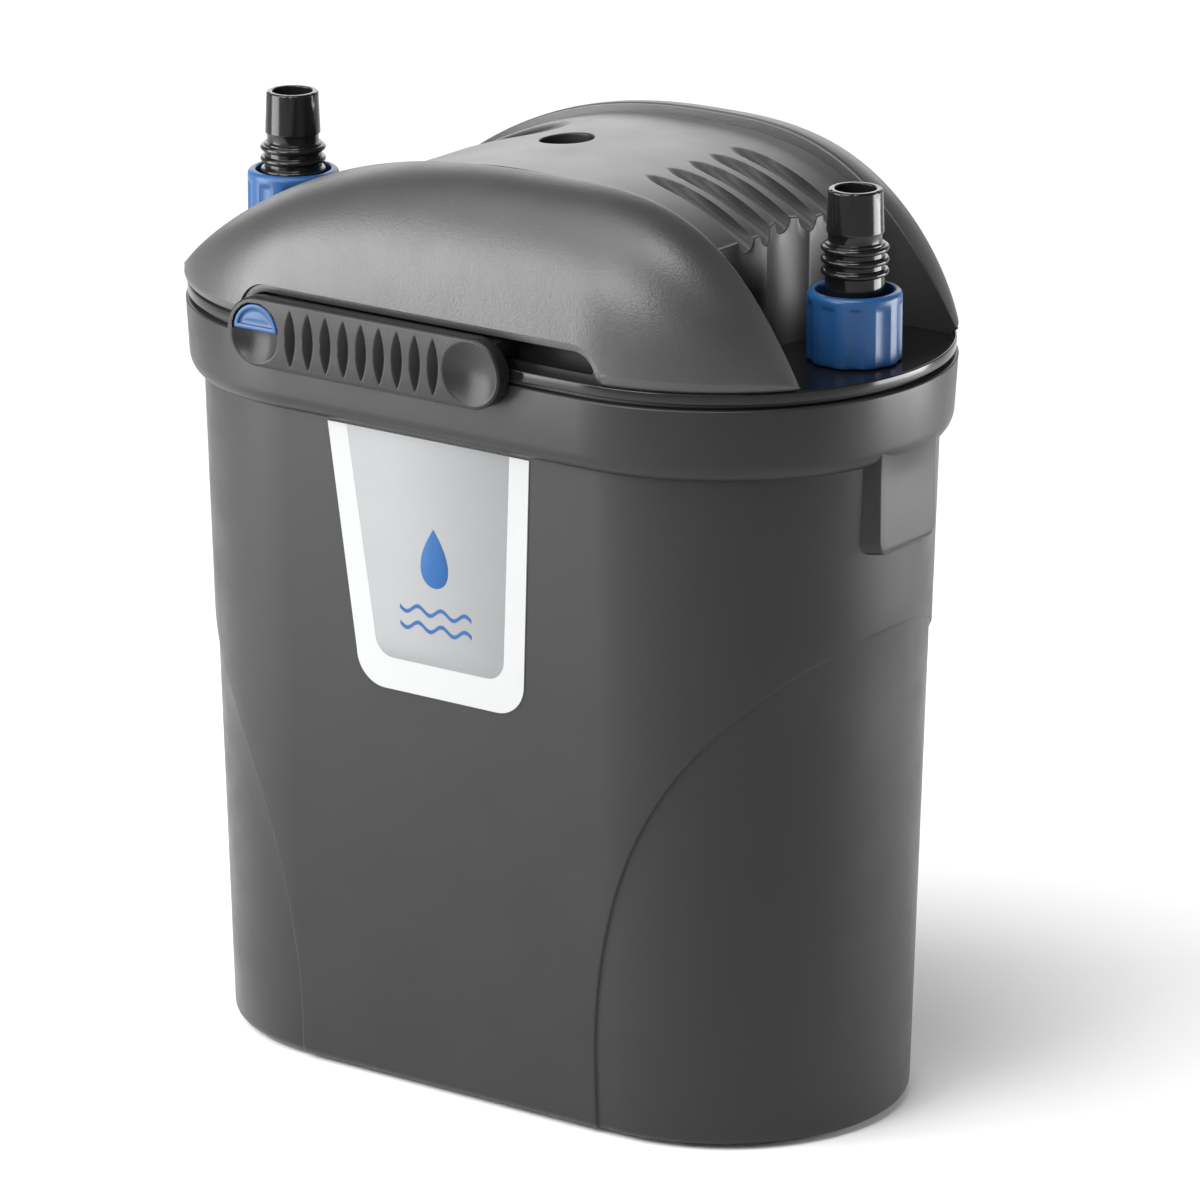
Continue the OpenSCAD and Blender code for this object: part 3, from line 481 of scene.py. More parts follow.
def build_tank():
    """The tank: outside wall, round foot, collar, rim and inside, with its lugs and keepers."""
    soup = Soup()
    lows, highs = [], []
    for end in (1, -1):
        low_s, low_d, high_s = tank_end(soup, end)
        order = slice(None) if end == 1 else slice(None, None, -1)
        lows.append((np.full(len(low_s), float(end))[1:], low_s[order][1:], low_d[order][1:]))
        highs.append((np.full(len(high_s), float(end))[1:], high_s[order][1:]))
    ends, along, depth = (np.concatenate(x) for x in zip(*lows))
    rings = []
    for a in np.linspace(90, 0, 7):
        inset = FOOT_ROUND * (1 - math.sin(math.radians(a)))
        z = FOOT_Z + FOOT_ROUND * (1 - math.cos(math.radians(a)))
        rings.append(oval_points(wall_half_l(z) - inset, wall_half_w(z) - inset, z, ends, along,
                                 depth))
    soup.loft(rings, start=False)
    # collar, rim and inside
    ends, along = (np.concatenate(x) for x in zip(*highs))
    profile = [(TOP_HALF_L, TOP_HALF_W, COLLAR_Z)]
    out_l, out_w = COLLAR_HALF_L - TOP_HALF_L, COLLAR_HALF_W - TOP_HALF_W
    for a in np.radians(np.linspace(8, 90, 12)):
        profile.append((TOP_HALF_L + out_l * math.sin(a), TOP_HALF_W + out_w * math.sin(a),
                        COLLAR_Z + COLLAR_ROUND * (1 - math.cos(a))))
    for dx, z in arc(-0.7, RIM_Z - 0.7, 0.7, 0, 90, 6):
        profile.append((RIM_HALF_L + dx, COLLAR_HALF_W + dx, z))
    in_l, in_w = COLLAR_HALF_L - COLLAR_T, COLLAR_HALF_W - COLLAR_T
    mouth_l, mouth_w = TOP_HALF_L - WALL, TOP_HALF_W - WALL
    for dx, z in arc(0.6, RIM_Z - 0.6, 0.6, 90, 180, 4):
        profile.append((in_l + dx, in_w + dx, z))
    for dx, z in arc(-0.8, RIM_Z - SEAT_DROP, 0.8, 0, -90, 4):
        profile.append((in_l + dx, in_w + dx, z))
    profile += [(mouth_l + 0.8, mouth_w + 0.8, RIM_Z - SEAT_DROP - 2.2),
                (mouth_l, mouth_w, RIM_Z - SEAT_DROP - 3), (mouth_l, mouth_w, COLLAR_Z)]
    for dx, dz in arc(-4, 4, 4, 0, -90, 6):
        z = FLOOR_Z + dz
        profile.append((wall_half_l(z) - WALL + dx, wall_half_w(z) - WALL + dx, z))
    soup.loft([oval_points(hl, hw, z, ends, along) for hl, hw, z in profile], start=False)
    for end in (1, -1):
        add_lug(soup, end)
        for x in KEEPER_XS:
            add_keeper(soup, x, end)
    add_piece("tank_body", soup, [tank_grey], "tank", ["tank"], sharp=50)


def add_lug(soup, end):
    """The grip lug under the collar, whose face runs up into the collar's side."""
    root_x, face_x, low_z = 114.5, 121.2, 178.0
    corner, edge, half_face, half_root = 5.0, 1.1, 14.0, 18.2
    collar_c = COLLAR_HALF_L - COLLAR_HALF_W
    heights = np.concatenate([low_z + corner - corner * np.cos(np.radians(np.linspace(0, 90, 10))),
                              np.linspace(186, 200, 4), np.linspace(201.5, 212, 10)])
    sections = []
    for z in heights:
        drop = max(0.0, low_z + corner - z)
        cut = corner - math.sqrt(max(0.0, corner * corner - drop * drop))
        rise = np.clip((z - 199) / 12.5, 0, 1) ** 2
        dip = edge * (1 - float(ease((z - low_z) / 1.6)))
        points = [(root_x, -half_root + cut), (face_x - edge - dip - 0.1, -half_face + cut - 0.9)]
        for a in np.radians(np.linspace(15, 90, 6)):
            points.append((face_x - dip - edge * (1 - math.sin(a)),
                           -half_face + cut - 0.6 + edge * (1 - math.cos(a))))
        inner = half_face - cut - 0.6
        points += [(face_x - dip, y) for y in np.linspace(-inner, 0, 6)[1:]]
        points += [(px, -py) for px, py in points[::-1][1:]]
        section = []
        for px, py in points:
            collar_x = collar_c + math.sqrt(COLLAR_HALF_W ** 2 - py * py) - 0.04
            reach = (px - root_x) / (face_x - root_x)
            section.append(((px + (collar_x - face_x) * rise * reach) * end, py * end, z))
        sections.append(section)
    soup.loft(sections)


def add_keeper(soup, x, side):
    """One of the lugs that a locked latch hooks under."""
    half, out, low, high, r = 4.0, tank_high[1], 222.4, 225.2, 0.5
    outline = round_box(-half, half, low, high, r, 3)
    centre = np.array([0, (low + high) / 2])
    rings = []
    for shrink, y in [(1.0, 66.5), (1.0, out - 0.35), (0.95, out - 0.1), (0.85, out)]:
        ring = centre + (outline - centre) * shrink
        rings.append([((x + p[0]) * side, -y * side, p[1]) for p in ring])
    soup.loft(rings)


def build_feet():
    """Four round rubber feet, FEET_X and FEET_Y from the middle."""
    soup = Soup()
    profile = [(0.01, 0.0), (8.4, 0.0), (8.85, 0.15), (9.0, 0.5), (9.0, 1.2), (0.01, 1.2)]
    for x in (-FEET_X, FEET_X):
        for y in (-FEET_Y, FEET_Y):
            turned(soup, profile, (x, y, 0), 64)
    add_piece("tank_feet", soup, [rubber_black], "tank", ["rubber_feet"])


# ---- label ----

LABEL_TOP, LABEL_LOW, LABEL_RIM, LABEL_T = 204.0, 125.0, 7.0, 0.35
MARK_X, DROP_HALF_W, DROP_UP, DROP_HALF_H = -2, 6.5, 168, 9
RIPPLE_HALF_L, RIPPLE_RISE, RIPPLE_UP, RIPPLE_GAP, RIPPLE_T = 13, 1.1, 152, 5, 1.2
DRAFT = math.atan((TOP_HALF_W - FOOT_HALF_W) / COLLAR_Z)


def on_front(x, up, lift):
    """A point on the front wall: distance up the wall, and lift off it."""
    x, up, lift = np.broadcast_arrays(*(np.asarray(v, float) for v in (x, up, lift)))
    return np.stack([x, -FOOT_HALF_W - up * math.sin(DRAFT) - lift * math.cos(DRAFT),
                     up * math.cos(DRAFT) - lift * math.sin(DRAFT)], -1)


def label_outline(inset):
    """Outline of the label, open at the top, moved in by an inset."""
    low, r = LABEL_LOW + 1.4 * inset, 10 - 0.5 * inset
    right, left = 29.5 - inset, -31.5 + inset
    points = [(33.3 - inset, LABEL_TOP), (-39.8 + inset, LABEL_TOP)]
    points += arc(left + r, low + r, r, 180, 270, 14)
    points += arc(right - r, low + r, r, 270, 360, 14)
    return np.array(points)


def plate(soup, outline, lift, thickness, edge=0.06):
    """A thin printed plate on the front wall, with a slightly round edge."""
    outline = np.asarray(outline, float)
    centre = outline.mean(0)
    rings = []
    inward = centre - outline
    inward /= np.linalg.norm(inward, axis=1)[:, None]
    for shrink, height in [(0.0, -0.2), (0.0, thickness - edge),
                           (edge * 0.4, thickness - edge * 0.3), (edge, thickness)]:
        moved = outline + inward * shrink
        rings.append(on_front(moved[:, 0], moved[:, 1], lift + height))
    soup.loft(rings)


def build_label():
    """The white border, the silver field in it, and the printed drop over two ripples."""
    thick, print_low, print_high = LABEL_T, LABEL_T - 0.03, LABEL_T + 0.07
    soup = Soup()
    outer, inner = label_outline(0), label_outline(LABEL_RIM)
    loops = [(outer, -0.2), (outer, thick - 0.05), (outer * 0.999 + np.array([0, 0.16]), thick),
             (inner, thick), (inner, -0.2)]
    # the border is open at the top, so each loop starts and ends there
    rows = [on_front(np.roll(p, -1, 0)[:, 0], np.roll(p, -1, 0)[:, 1], lift) for p, lift in loops]
    soup.grid(rows)
    add_piece("label_border_film", soup, [label_white], "tank", ["label_border"])
    soup = Soup()
    plate(soup, label_outline(LABEL_RIM - 0.02), 0, thick - 0.02)
    add_piece("label_field_film", soup, [label_silver], "tank", ["label_face"])
    soup = Soup()
    t = np.linspace(0, 2 * math.pi, 65)[:-1]
    drop = np.stack([MARK_X + DROP_HALF_W * np.sin(t) * np.sin(t / 2),
                     DROP_UP + DROP_HALF_H * np.cos(t)], 1)
    plate(soup, drop, print_low, print_high - print_low, edge=0.03)
    x = np.linspace(-RIPPLE_HALF_L, RIPPLE_HALF_L, 80)
    line_x = np.concatenate([x, x[::-1]]) + MARK_X
    for row in range(2):
        up = RIPPLE_RISE * np.sin(np.radians(x * 42)) + RIPPLE_UP - RIPPLE_GAP * row
        line_up = np.concatenate([up, up[::-1] - RIPPLE_T])
        soup.loft([on_front(line_x, line_up, h) for h in (print_low, print_high)])
    add_piece("label_mark_print", soup, [label_ink], "tank", ["label_mark"])


# ---- head base ----

PLUG_HALF_L, PLUG_HALF_W = TOP_HALF_L - WALL - 0.5, TOP_HALF_W - WALL - 0.5
PLUG_LOW = 206.0
LIP_Z = LEDGE_Z + 0.25
SEAL_GROOVE = 1.2
PASSAGE_R, PASSAGE_Z, PASSAGE_X = 7, 220, (22, 86)
THREAD_ZS = (240, 237, 234)


def build_ledge():
    """The ledge with its lip, the skirt that goes into the tank, and what hangs under it."""
    soup = Soup()
    l, w = LEDGE_HALF_L, LEDGE_HALF_W
    profile = [(l - 1.15, w - 1.15, LEDGE_Z), (l - 1.0, w - 1.0, LEDGE_Z + 0.15)]
    for dx, z in arc(-0.5, LIP_Z, 0.5, 180, 90, 4) + arc(-0.5, LIP_Z, 0.5, 75, 0, 5):
        profile.append((l + dx, w + dx, z))
    profile += [(l + dx, w + dx, z) for dx, z in arc(-0.4, SEAL_Z + 0.4, 0.4, 0, -90, 4)]
    p_l, p_w = PLUG_HALF_L, PLUG_HALF_W
    for inset, z in [(-0.4, SEAL_Z), (0, SEAL_Z - 0.4), (0, PLUG_LOW + 5),
                     (SEAL_GROOVE, PLUG_LOW + 5), (SEAL_GROOVE, PLUG_LOW + 2), (0, PLUG_LOW + 2),
                     (0, PLUG_LOW + 0.6), (0.6, PLUG_LOW), (2.1, PLUG_LOW), (2.5, PLUG_LOW + 0.4),
                     (2.5, SEAL_Z)]:
        profile.append((p_l - inset, p_w - inset, z))
    oval_loft(soup, profile)
    # pump chamber under the ledge
    turned(soup, [(22, 208.5), (22.3, 208), (24.5, 208), (25, 208.5), (25, 230), (11.6, 230),
                  (11.6, 225), (22, 225)], (0, 0, 0), 128)
    for side in (1, -1):
        add_port(soup, side * CONNECTOR_X, side)
    # outlet passage
    angles = np.linspace(0, 2 * math.pi, 49)[:-1]
    soup.loft([[(x, PASSAGE_R * math.cos(a), PASSAGE_Z + PASSAGE_R * math.sin(a)) for a in angles]
               for x in PASSAGE_X])
    add_piece("ledge_moulding", soup, [gloss_black], "head", ["head_base"],
              sharp=40)


def add_port(soup, x, side):
    """A threaded stub on the ledge, and the block under it."""
    thread = [(7.4, 216), (7.4, 242.4), (7.9, 243), (10.4, 243), (10.9, 242.5)]
    for z in THREAD_ZS:
        thread += [(10.9, z + 0.9), (11.5, z + 0.5), (11.75, z), (11.5, z - 0.5), (10.9, z - 0.9)]
    thread += [(10.9, 230.5), (10.9, 216)]
    turned(soup, thread, (x, 0, 0), 96)
    low, high = 212.0, 228.0
    base = round_box(80.0, PLUG_HALF_L - 2, -11.0, 11.0, 1.5, 4)
    soup.loft([[(px * side, py * side, z) for px, py in base] for z in (low, low + 0.3, high)])


def build_seals():
    """The gasket between collar and ledge, and the ring in the skirt's groove."""
    soup = Soup()
    l, w = COLLAR_HALF_L - 1.5, COLLAR_HALF_W - 1.5
    profile = [(l + dx, w + dx, z) for dx, z in arc(-0.8, (RIM_Z + SEAL_Z) / 2, 0.8, -90, 90, 8)]
    profile += [(l - 4, w - 4, SEAL_Z), (l - 4, w - 4, RIM_Z)]
    oval_loft(soup, profile + [profile[0]], start=False, end=False)
    add_piece("head_gasket", soup, [rubber_black], "head", ["head_seal"])
    soup = Soup()
    mid = PLUG_LOW + 3.5
    profile = [(PLUG_HALF_L - 0.35 + 0.7 * math.cos(a), PLUG_HALF_W - 0.35 + 0.7 * math.cos(a),
                mid + 1.4 * math.sin(a)) for a in np.linspace(0, 2 * math.pi, 17)]
    oval_loft(soup, profile, start=False, end=False)
    add_piece("skirt_seal", soup, [rubber_black], "head", ["plug_seal"])


# ---- shells ----

SHELL_C, SHELL_HALF_W = 54.1, 70.5
SHELL_FOOT_L, SHELL_FOOT_W = LEDGE_HALF_L - 1.2, LEDGE_HALF_W - 1.2
SHELL_FOOT_H, SWELL_H = 0.9, 4.5
SHELL_POWER, RIDGE_ANGLE, RIDGE_EDGE = 0.9, 87.5, 0.7
SLOT_LO, SLOT_HI, SLOT_TOP, SLOT_CORNER = rail_low[0] - 0.1, rail_high[0] + 0.1, 243.0, 10.0
# inset and depth of the lines of the frame round the slot
SLOT_STEP = [(0.0, 0.0), (0.08, 0.12), (0.14, 0.8), (0.3, 1.0), (2.3, 1.25), (2.6, 1.5), (2.7, 2.2),
             (2.75, 9.0)]
# highest place and its height, then where the ridge meets the ledge and how it falls on each side
FRONT_RIDGE = (28.0, node_box("front_shell")[1][2], -116.5, 2.75, 111.8, 3.2)
REAR_RIDGE = (23.5, node_box("rear_shell")[1][2], -99.6, 2.45, 111.5, 2.8)


def ridge_rise(x, ridge):
    """Height of a ridge above the ledge."""
    peak_x, peak_z, left_foot, left_fall, right_foot, right_fall = ridge
    x = np.asarray(x, float)
    right = 1 - (np.maximum(x - peak_x, 0) / (right_foot - peak_x)) ** right_fall
    left = 1 - (np.maximum(peak_x - x, 0) / (peak_x - left_foot)) ** left_fall
    share = np.maximum(0.04, np.where(x > peak_x, right, left))
    return np.maximum(0.5, (peak_z - LEDGE_Z) * share)


def shell_limit(x, y, z):
    """Keeps a shell's foot inside the ledge's lip, from where it swells out."""
    turn = np.arccos(np.clip(1 - (z - LEDGE_Z - SHELL_FOOT_H) / SWELL_H, 0, 1))
    w = SHELL_FOOT_W + (SHELL_HALF_W - SHELL_FOOT_W) * np.sin(turn)
    c = SHELL_FOOT_L - SHELL_FOOT_W + (SHELL_C - SHELL_FOOT_L + SHELL_FOOT_W) * np.sin(turn)
    past = np.maximum(0, np.abs(x) - c)
    r = np.hypot(past, y)
    scale = np.minimum(1, w / np.maximum(r, 1e-6))
    along = np.minimum(past, np.sqrt(np.maximum(0, w * w - y * y)))
    t = ease((y - RIDGE_Y) / 10)
    new_past = along * (1 - t) + past * scale * t
    new_y = np.minimum(w, y * (1 - t) + y * scale * t)
    return np.where(past > 0, np.sign(x) * (c + new_past), x), new_y


def shell_surface(x, angle, ridge):
    """Place on the shell's outside: angle 0 is on the ledge, 90 on the ridge."""
    x, angle = np.broadcast_arrays(np.asarray(x, float), np.asarray(angle, float))
    past = np.maximum(0, np.abs(x) - SHELL_C)
    half_w = np.sqrt(np.maximum(0, SHELL_HALF_W ** 2 - past ** 2))
    out = np.maximum(0.02, half_w - RIDGE_Y)
    a = np.radians(angle)
    y = RIDGE_Y + out * np.maximum(0, np.cos(a)) ** SHELL_POWER
    z = LEDGE_Z + ridge_rise(x, ridge) * np.maximum(0, np.sin(a)) ** SHELL_POWER
    return *shell_limit(x, y, z), z


def angle_at(x, z, ridge):
    """The angle at which the shell's outside reaches a height."""
    share = np.clip((z - LEDGE_Z) / ridge_rise(x, ridge), 0, 1)
    return np.degrees(np.arcsin(share ** (1 / SHELL_POWER)))


def slot_line(lo, hi, inset):
    """Line up, over and down round the slot, moved in by an inset."""
    r, corner_z = SLOT_CORNER - inset, SLOT_TOP - SLOT_CORNER
    top_x = np.linspace(lo + SLOT_CORNER, hi - SLOT_CORNER, 41)[1:-1]
    points = [(lo + inset, LEDGE_Z)] + arc(lo + SLOT_CORNER, corner_z, r, 180, 90, 10)
    points += [(x, SLOT_TOP - inset) for x in top_x]
    points += arc(hi - SLOT_CORNER, corner_z, r, 90, 0, 10) + [(hi - inset, LEDGE_Z)]
    return np.array(points)


def build_shell(name, node, mirror, ridge, lo, hi):
    """One shell, from the ledge over the outside to the ridge and down the wall beside the bridge.
    mirror is -1 for the front one."""
    soup = Soup()
    reach = SHELL_C + math.sqrt(SHELL_HALF_W ** 2 - RIDGE_Y ** 2)
    # rows lie close together at the bottom, where the surface turns most
    row_share = np.concatenate([np.linspace(0, 0.055, 9)[:-1],
                                0.055 + 0.945 * (1 - (1 - np.linspace(0, 1, 44)) ** 1.15)])

    def place(x, y, z):
        return np.stack([x, y * mirror, z], -1)

    def add_rows(x, low, high, share):
        """The surface over a row of x, between two angles."""
        angle = low + (high - low) * share[:, None]
        soup.grid(place(*shell_surface(np.broadcast_to(x, angle.shape), angle, ridge)))

    columns = reach * np.sin(np.radians(np.linspace(0, 90, 61)))
    left, right = -columns[::-1], columns
    left, right = left[left < lo - 0.6], right[right > hi + 0.6]
    for x in (np.append(left, lo), np.insert(right, 0, hi)):
        corner = np.minimum(angle_at(x, SLOT_TOP - SLOT_CORNER, ridge), 80)
        add_rows(x, 0 * corner, corner, np.linspace(0, 1, 7))
        add_rows(x, corner, RIDGE_ANGLE, row_share)
    inner, inner_z = slot_line(lo, hi, 0.0)[1:-1].T
    add_rows(inner, angle_at(inner, inner_z, ridge), RIDGE_ANGLE, row_share)
    # the small round edge of the ridge, and the upright wall under it
    every = np.concatenate([left, inner, right])
    x, y, z = shell_surface(every, RIDGE_ANGLE, ridge)
    r = np.minimum(RIDGE_EDGE, np.maximum(0.02, y - RIDGE_Y))
    lines = [place(x, y, z)]
    for a in np.radians(np.linspace(80, 0, 7)):
        lines.append(place(x, RIDGE_Y + r - r * math.cos(a), z - r + r * math.sin(a)))
    for share in np.linspace(0.08, 1, 10):
        wall_z = (z - r) * (1 - share) + LEDGE_Z * share
        wall_y = np.full_like(every, RIDGE_Y)
        lines.append(place(shell_limit(every, wall_y, wall_z)[0], wall_y, wall_z))
    soup.grid(lines)
    strips = []
    for inset, depth in SLOT_STEP:
        line_x, line_z = slot_line(lo, hi, inset).T
        x, y, z = shell_surface(line_x, angle_at(line_x, line_z, ridge), ridge)
        strips.append(place(x, y - depth, z))
    soup.grid(strips[:5])
    # painted shade: the slot's inner wall, from 2.2 mm deep, gets matt black instead of the shell's
    # grey
    soup.grid(strips[4:], number=1)
    add_piece(name, soup, [shell_grey, matt_black], "head", [node], sharp=40)


# ---- bridge ----

BRIDGE_PEAK_X, BRIDGE_PEAK_Z = 14.0, 282.0
CLEARANCE_R = 25.4
GROOVE_R, GROOVE_X, GROOVE_SLOPE = 3.6, 45.0, 26.7
GROOVE_YS = np.arange(-21, 21.1, 10.5)
SCREW_R, SCREW_Z = 8.0, 276.0
SCOOP_X, SCOOP_Y, SCOOP_HALF, SCOOP_DEPTH = -28.0, 16.0, 14.5, 4.0
BRIDGE_EDGE = 0.5


def bridge_top(x):
    """Height of the bridge along its middle, without grooves."""
    x = np.asarray(x, float)
    right = 14 * (np.maximum(x - BRIDGE_PEAK_X, 0) / 63) ** 3.2
    left = 19 * (np.maximum(BRIDGE_PEAK_X - x, 0) / 72) ** 2.2
    return BRIDGE_PEAK_Z - np.where(x > BRIDGE_PEAK_X, right, left)


def bridge_height(x, y):
    """Height of the bridge's top, with its grooves and the scoop towards the cord's exit."""
    x, y = np.broadcast_arrays(np.asarray(x, float), np.asarray(y, float))
    z = bridge_top(x)
    slope = math.radians(GROOVE_SLOPE)
    axis_z = bridge_top(GROOVE_X) + GROOVE_R - (x - GROOVE_X) * math.tan(slope)
    for groove_y in GROOVE_YS:
        across = np.abs(y - groove_y)
        half_h = np.sqrt(np.maximum(0, GROOVE_R ** 2 - across ** 2)) / math.cos(slope)
        cut = np.where(across < GROOVE_R, axis_z - half_h, 1e9)
        z = soft_min(z, cut, 0.35)
    # scoop: a shallow round-ended channel that runs out of the left end
    along = np.maximum(0, x - SCOOP_X)
    away = np.hypot(along, y - SCOOP_Y)
    depth = SCOOP_DEPTH * (0.55 + 0.45 * ease((-14 - x) / 40)) * ease((SCOOP_HALF - away) / 4.5)
    return z - depth


def soft_min(a, b, k):
    """The smaller of two values, with a round change over a width k."""
    h = np.clip(0.5 + 0.5 * (b - a) / k, 0, 1)
    return b * (1 - h) + a * h - k * h * (1 - h)


def bridge_end(y):
    """Half length of the bridge at a distance from its middle."""
    y = np.abs(np.asarray(y, float))
    arc_x = CONNECTOR_X - np.sqrt(np.maximum(0, CLEARANCE_R ** 2 - y ** 2))
    return np.where(y < CLEARANCE_R, np.minimum(BRIDGE_X, arc_x), BRIDGE_X)


def build_bridge():
    """The bridge's top, with a round recess for the screw, and its end walls."""
    soup = Soup()
    edge = BRIDGE_EDGE
    ys = np.unique(np.round(np.concatenate([
        np.linspace(-RIDGE_Y + 0.01, -25.5, 12), np.arange(-25.5, 25.6, 0.375),
        np.linspace(25.5, RIDGE_Y - 0.01, 12)]), 4))
    patch = 12.0

    def add_strip(x0, x1, y, steps):
        """The top between two lines of x, for a column of y."""
        x = x0 + (x1 - x0) * np.linspace(0, 1, steps)
        y = np.broadcast_to(y, x.shape)
        soup.grid(np.stack([x, y, bridge_height(x, y)], -1))

    ends = (bridge_end(ys) - edge)[:, None]
    full = np.full(ends.shape, patch)
    add_strip(-ends, -full, ys[:, None], 60)
    add_strip(full, ends, ys[:, None], 110)
    mid_x = np.linspace(-patch, patch, 33)
    for y_list in (ys[ys <= -patch + 1e-6], ys[ys >= patch - 1e-6]):
        x, y = np.meshgrid(mid_x, y_list)
        soup.grid(np.stack([x, y, bridge_height(x, y)], -1))
    # the patch round the screw's recess, from its square border in to the rim
    inside = ys[(ys >= -patch - 1e-6) & (ys <= patch + 1e-6)]
    square = [(x, -patch) for x in mid_x[:-1]] + [(patch, y) for y in inside[:-1]]
    square += [(x, patch) for x in mid_x[::-1][:-1]] + [(-patch, y) for y in inside[::-1][:-1]]
    square = np.array(square)
    direction = square / np.linalg.norm(square, axis=1)[:, None]
    around = [(square * (1 - share) + direction * (SCREW_R + 0.8) * share, 0.0)
              for share in np.linspace(0, 1, 8)]
    around += [(direction * (SCREW_R + r), drop) for r, drop in
               [(0.45, 0.05), (0.2, 0.18), (0.05, 0.4), (0.0, 0.8), (0.0, 3.0)]]
    rings = [np.column_stack([p, bridge_height(p[:, 0], p[:, 1]) - drop]) for p, drop in around]
    for r, z in [(8.0, SCREW_Z + 0.5), (7.5, SCREW_Z + 0.05), (0.5, SCREW_Z + 0.05)]:
        p = direction * r
        rings.append(np.column_stack([p, np.full(len(p), z)]))
    soup.grid(rings, close=True)
    soup.add(rings[-1], [list(range(len(rings[-1])))])
    # end walls: a small round edge, then straight down
    for side in (1, -1):
        x0 = side * (bridge_end(ys) - edge)
        top = bridge_height(x0, ys)
        lines = [np.stack([x0, ys, top], -1)]
        for a in np.radians(np.linspace(70, 0, 5)):
            lines.append(np.stack([x0 + side * edge * math.cos(a), ys,
                                   top - edge + edge * math.sin(a)], -1))
        wall_x = x0 + side * edge
        for share in (0.1, 0.3, 0.6, 1.0):
            lines.append(np.stack([wall_x, ys, (top - edge) * (1 - share) + LEDGE_Z * share], -1))
        soup.grid(lines)
    add_piece("bridge_moulding", soup, [bridge_grey], "head",
              ["bridge_cover"], sharp=45)


def build_screw():
    """The centre screw: its head stands in the recess, with a star of three bars in its socket."""
    soup = Soup()
    z = SCREW_Z
    turned(soup, [(0.01, z - 12), (2, z - 12), (2, z), (4.4, z), (4.6, z + 0.2), (4.6, z + 2.0),
                  (4.4, z + 2.4), (3.7, z + 2.8), (2.9, z + 2.95), (2.6, z + 2.6), (2.5, z + 1.5),
                  (0.01, z + 1.4)], (0, 0, 0), 64)
    for turn in range(3):
        a = math.radians(60 * turn + 12)
        d, n = np.array([math.cos(a), math.sin(a)]), np.array([-math.sin(a), math.cos(a)])
        base = [d * 2.6 + n * 0.35, d * -2.6 + n * 0.35, d * -2.6 - n * 0.35, d * 2.6 - n * 0.35]
        soup.loft([[(p[0] * s, p[1] * s, h) for p in base]
                   for s, h in [(1, z + 1.3), (1, z + 2.4), (0.96, z + 2.5)]])
    add_piece("centre_screw_head", soup, [steel], "head", ["centre_screw"])


def build_gland():
    """The ribbed cable gland, as a profile of radius and place along x."""
    soup = Soup()
    x, y, z = -BRIDGE_X, 29.0, 241.0
    profile = [(2.6, 8), (2.6, -8.7), (2.8, -9), (3.5, -9), (3.7, -8.6)]
    for k in range(5):
        s = -8.0 + 1.5 * k
        r = 3.75 + 0.3 * k
        profile += [(r, s), (r + 0.25, s + 0.4), (r + 0.25, s + 0.8), (r - 0.1, s + 1.1)]
    profile += [(5.4, -0.6), (5.4, -0.05), (3.95, 0), (3.95, 8)]
    angles = np.linspace(0, 2 * math.pi, 49)[:-1]
    rings = [[(x + s, y + r * math.cos(a), z + r * math.sin(a)) for a in angles]
             for r, s in profile + [profile[0]]]
    soup.loft(rings, start=False, end=False)
    add_piece("cord_gland", soup, [rubber_black], "head", ["cable_gland"])


# ---- latches ----

LATCH_Z, LATCH_FACE, LATCH_BACK = 230.0, -bar_low[1], 70.2
LATCH_R = 10.5
LATCH_X0, LATCH_X1 = bar_low[0], bar_high[0]
BUTTON_X, DISH_X = LATCH_X0 + LATCH_R, LATCH_X1 - LATCH_R
LATCH_X = (LATCH_X0 + LATCH_X1) / 2
LATCH_EDGE, LATCH_CROWN = 1.1, 0.35
# radius of the sphere that cuts each dish, and how far its middle lies off the latch's face
DISH_R, DISH_OFF, LOW_DISH_R, LOW_DISH_OFF = 22.0, 19.7, 16.0, 13.5
FINGER_PITCH, FINGER_HALF, FINGER_WHEEL, FINGER_TAPER, FINGER_OFF = 6.5, 2.0, 19.2, 2.2, 17.0
BUTTON_R, BUTTON_FLAT_Z, POCKET_R, POCKET_DEPTH = 8.0, 0.5, 8.35, 4.6
# x, z and y of the neck and of the foot that runs in the rail
LATCH_BLOCKS = [(-61, 27, 3.9, 9.2, -70.4, -63.2), (-62, 27, 2.6, 11.2, -63.6, -60.4)]
SPRING_Z, SPRING_KEEP = 236.8, 0.77


def latch_depth(x, z):
    """How far the latch's front lies behind its highest plane, z from the bar's middle."""
    x, z = np.asarray(x, float), np.asarray(z, float)
    near = np.clip(x, BUTTON_X, DISH_X)
    to_edge = LATCH_R - np.hypot(x - near, z)
    e = np.clip(1 - to_edge / LATCH_EDGE, 0, 1)
    depth = LATCH_EDGE * (1 - np.sqrt(np.maximum(0, 1 - e * e)))
    depth = depth + LATCH_CROWN * (np.abs(z) / LATCH_R) ** 2
    # dish in the free end
    dish = np.sqrt(np.maximum(0, DISH_R ** 2 - (x - DISH_X) ** 2 - z ** 2)) - DISH_OFF
    depth = -soft_min(-depth, -dish, 0.25)
    # dish under the button
    low = np.sqrt(np.maximum(0, LOW_DISH_R ** 2 - (x - BUTTON_X) ** 2 - (z + 1) ** 2))
    depth = np.maximum(depth, np.where(z < BUTTON_FLAT_Z, low - LOW_DISH_OFF, 0.0))
    # finger grooves
    for k in range(-4, 5):
        off = np.abs(x - (LATCH_X + FINGER_PITCH * k))
        wheel = FINGER_WHEEL - FINGER_TAPER * off / FINGER_HALF
        cut = np.sqrt(np.maximum(0, wheel ** 2 - z ** 2)) - FINGER_OFF
        depth = -soft_min(-depth, -np.where(off < FINGER_HALF, cut, 0.0), 0.12)
    return np.maximum(depth, 0)


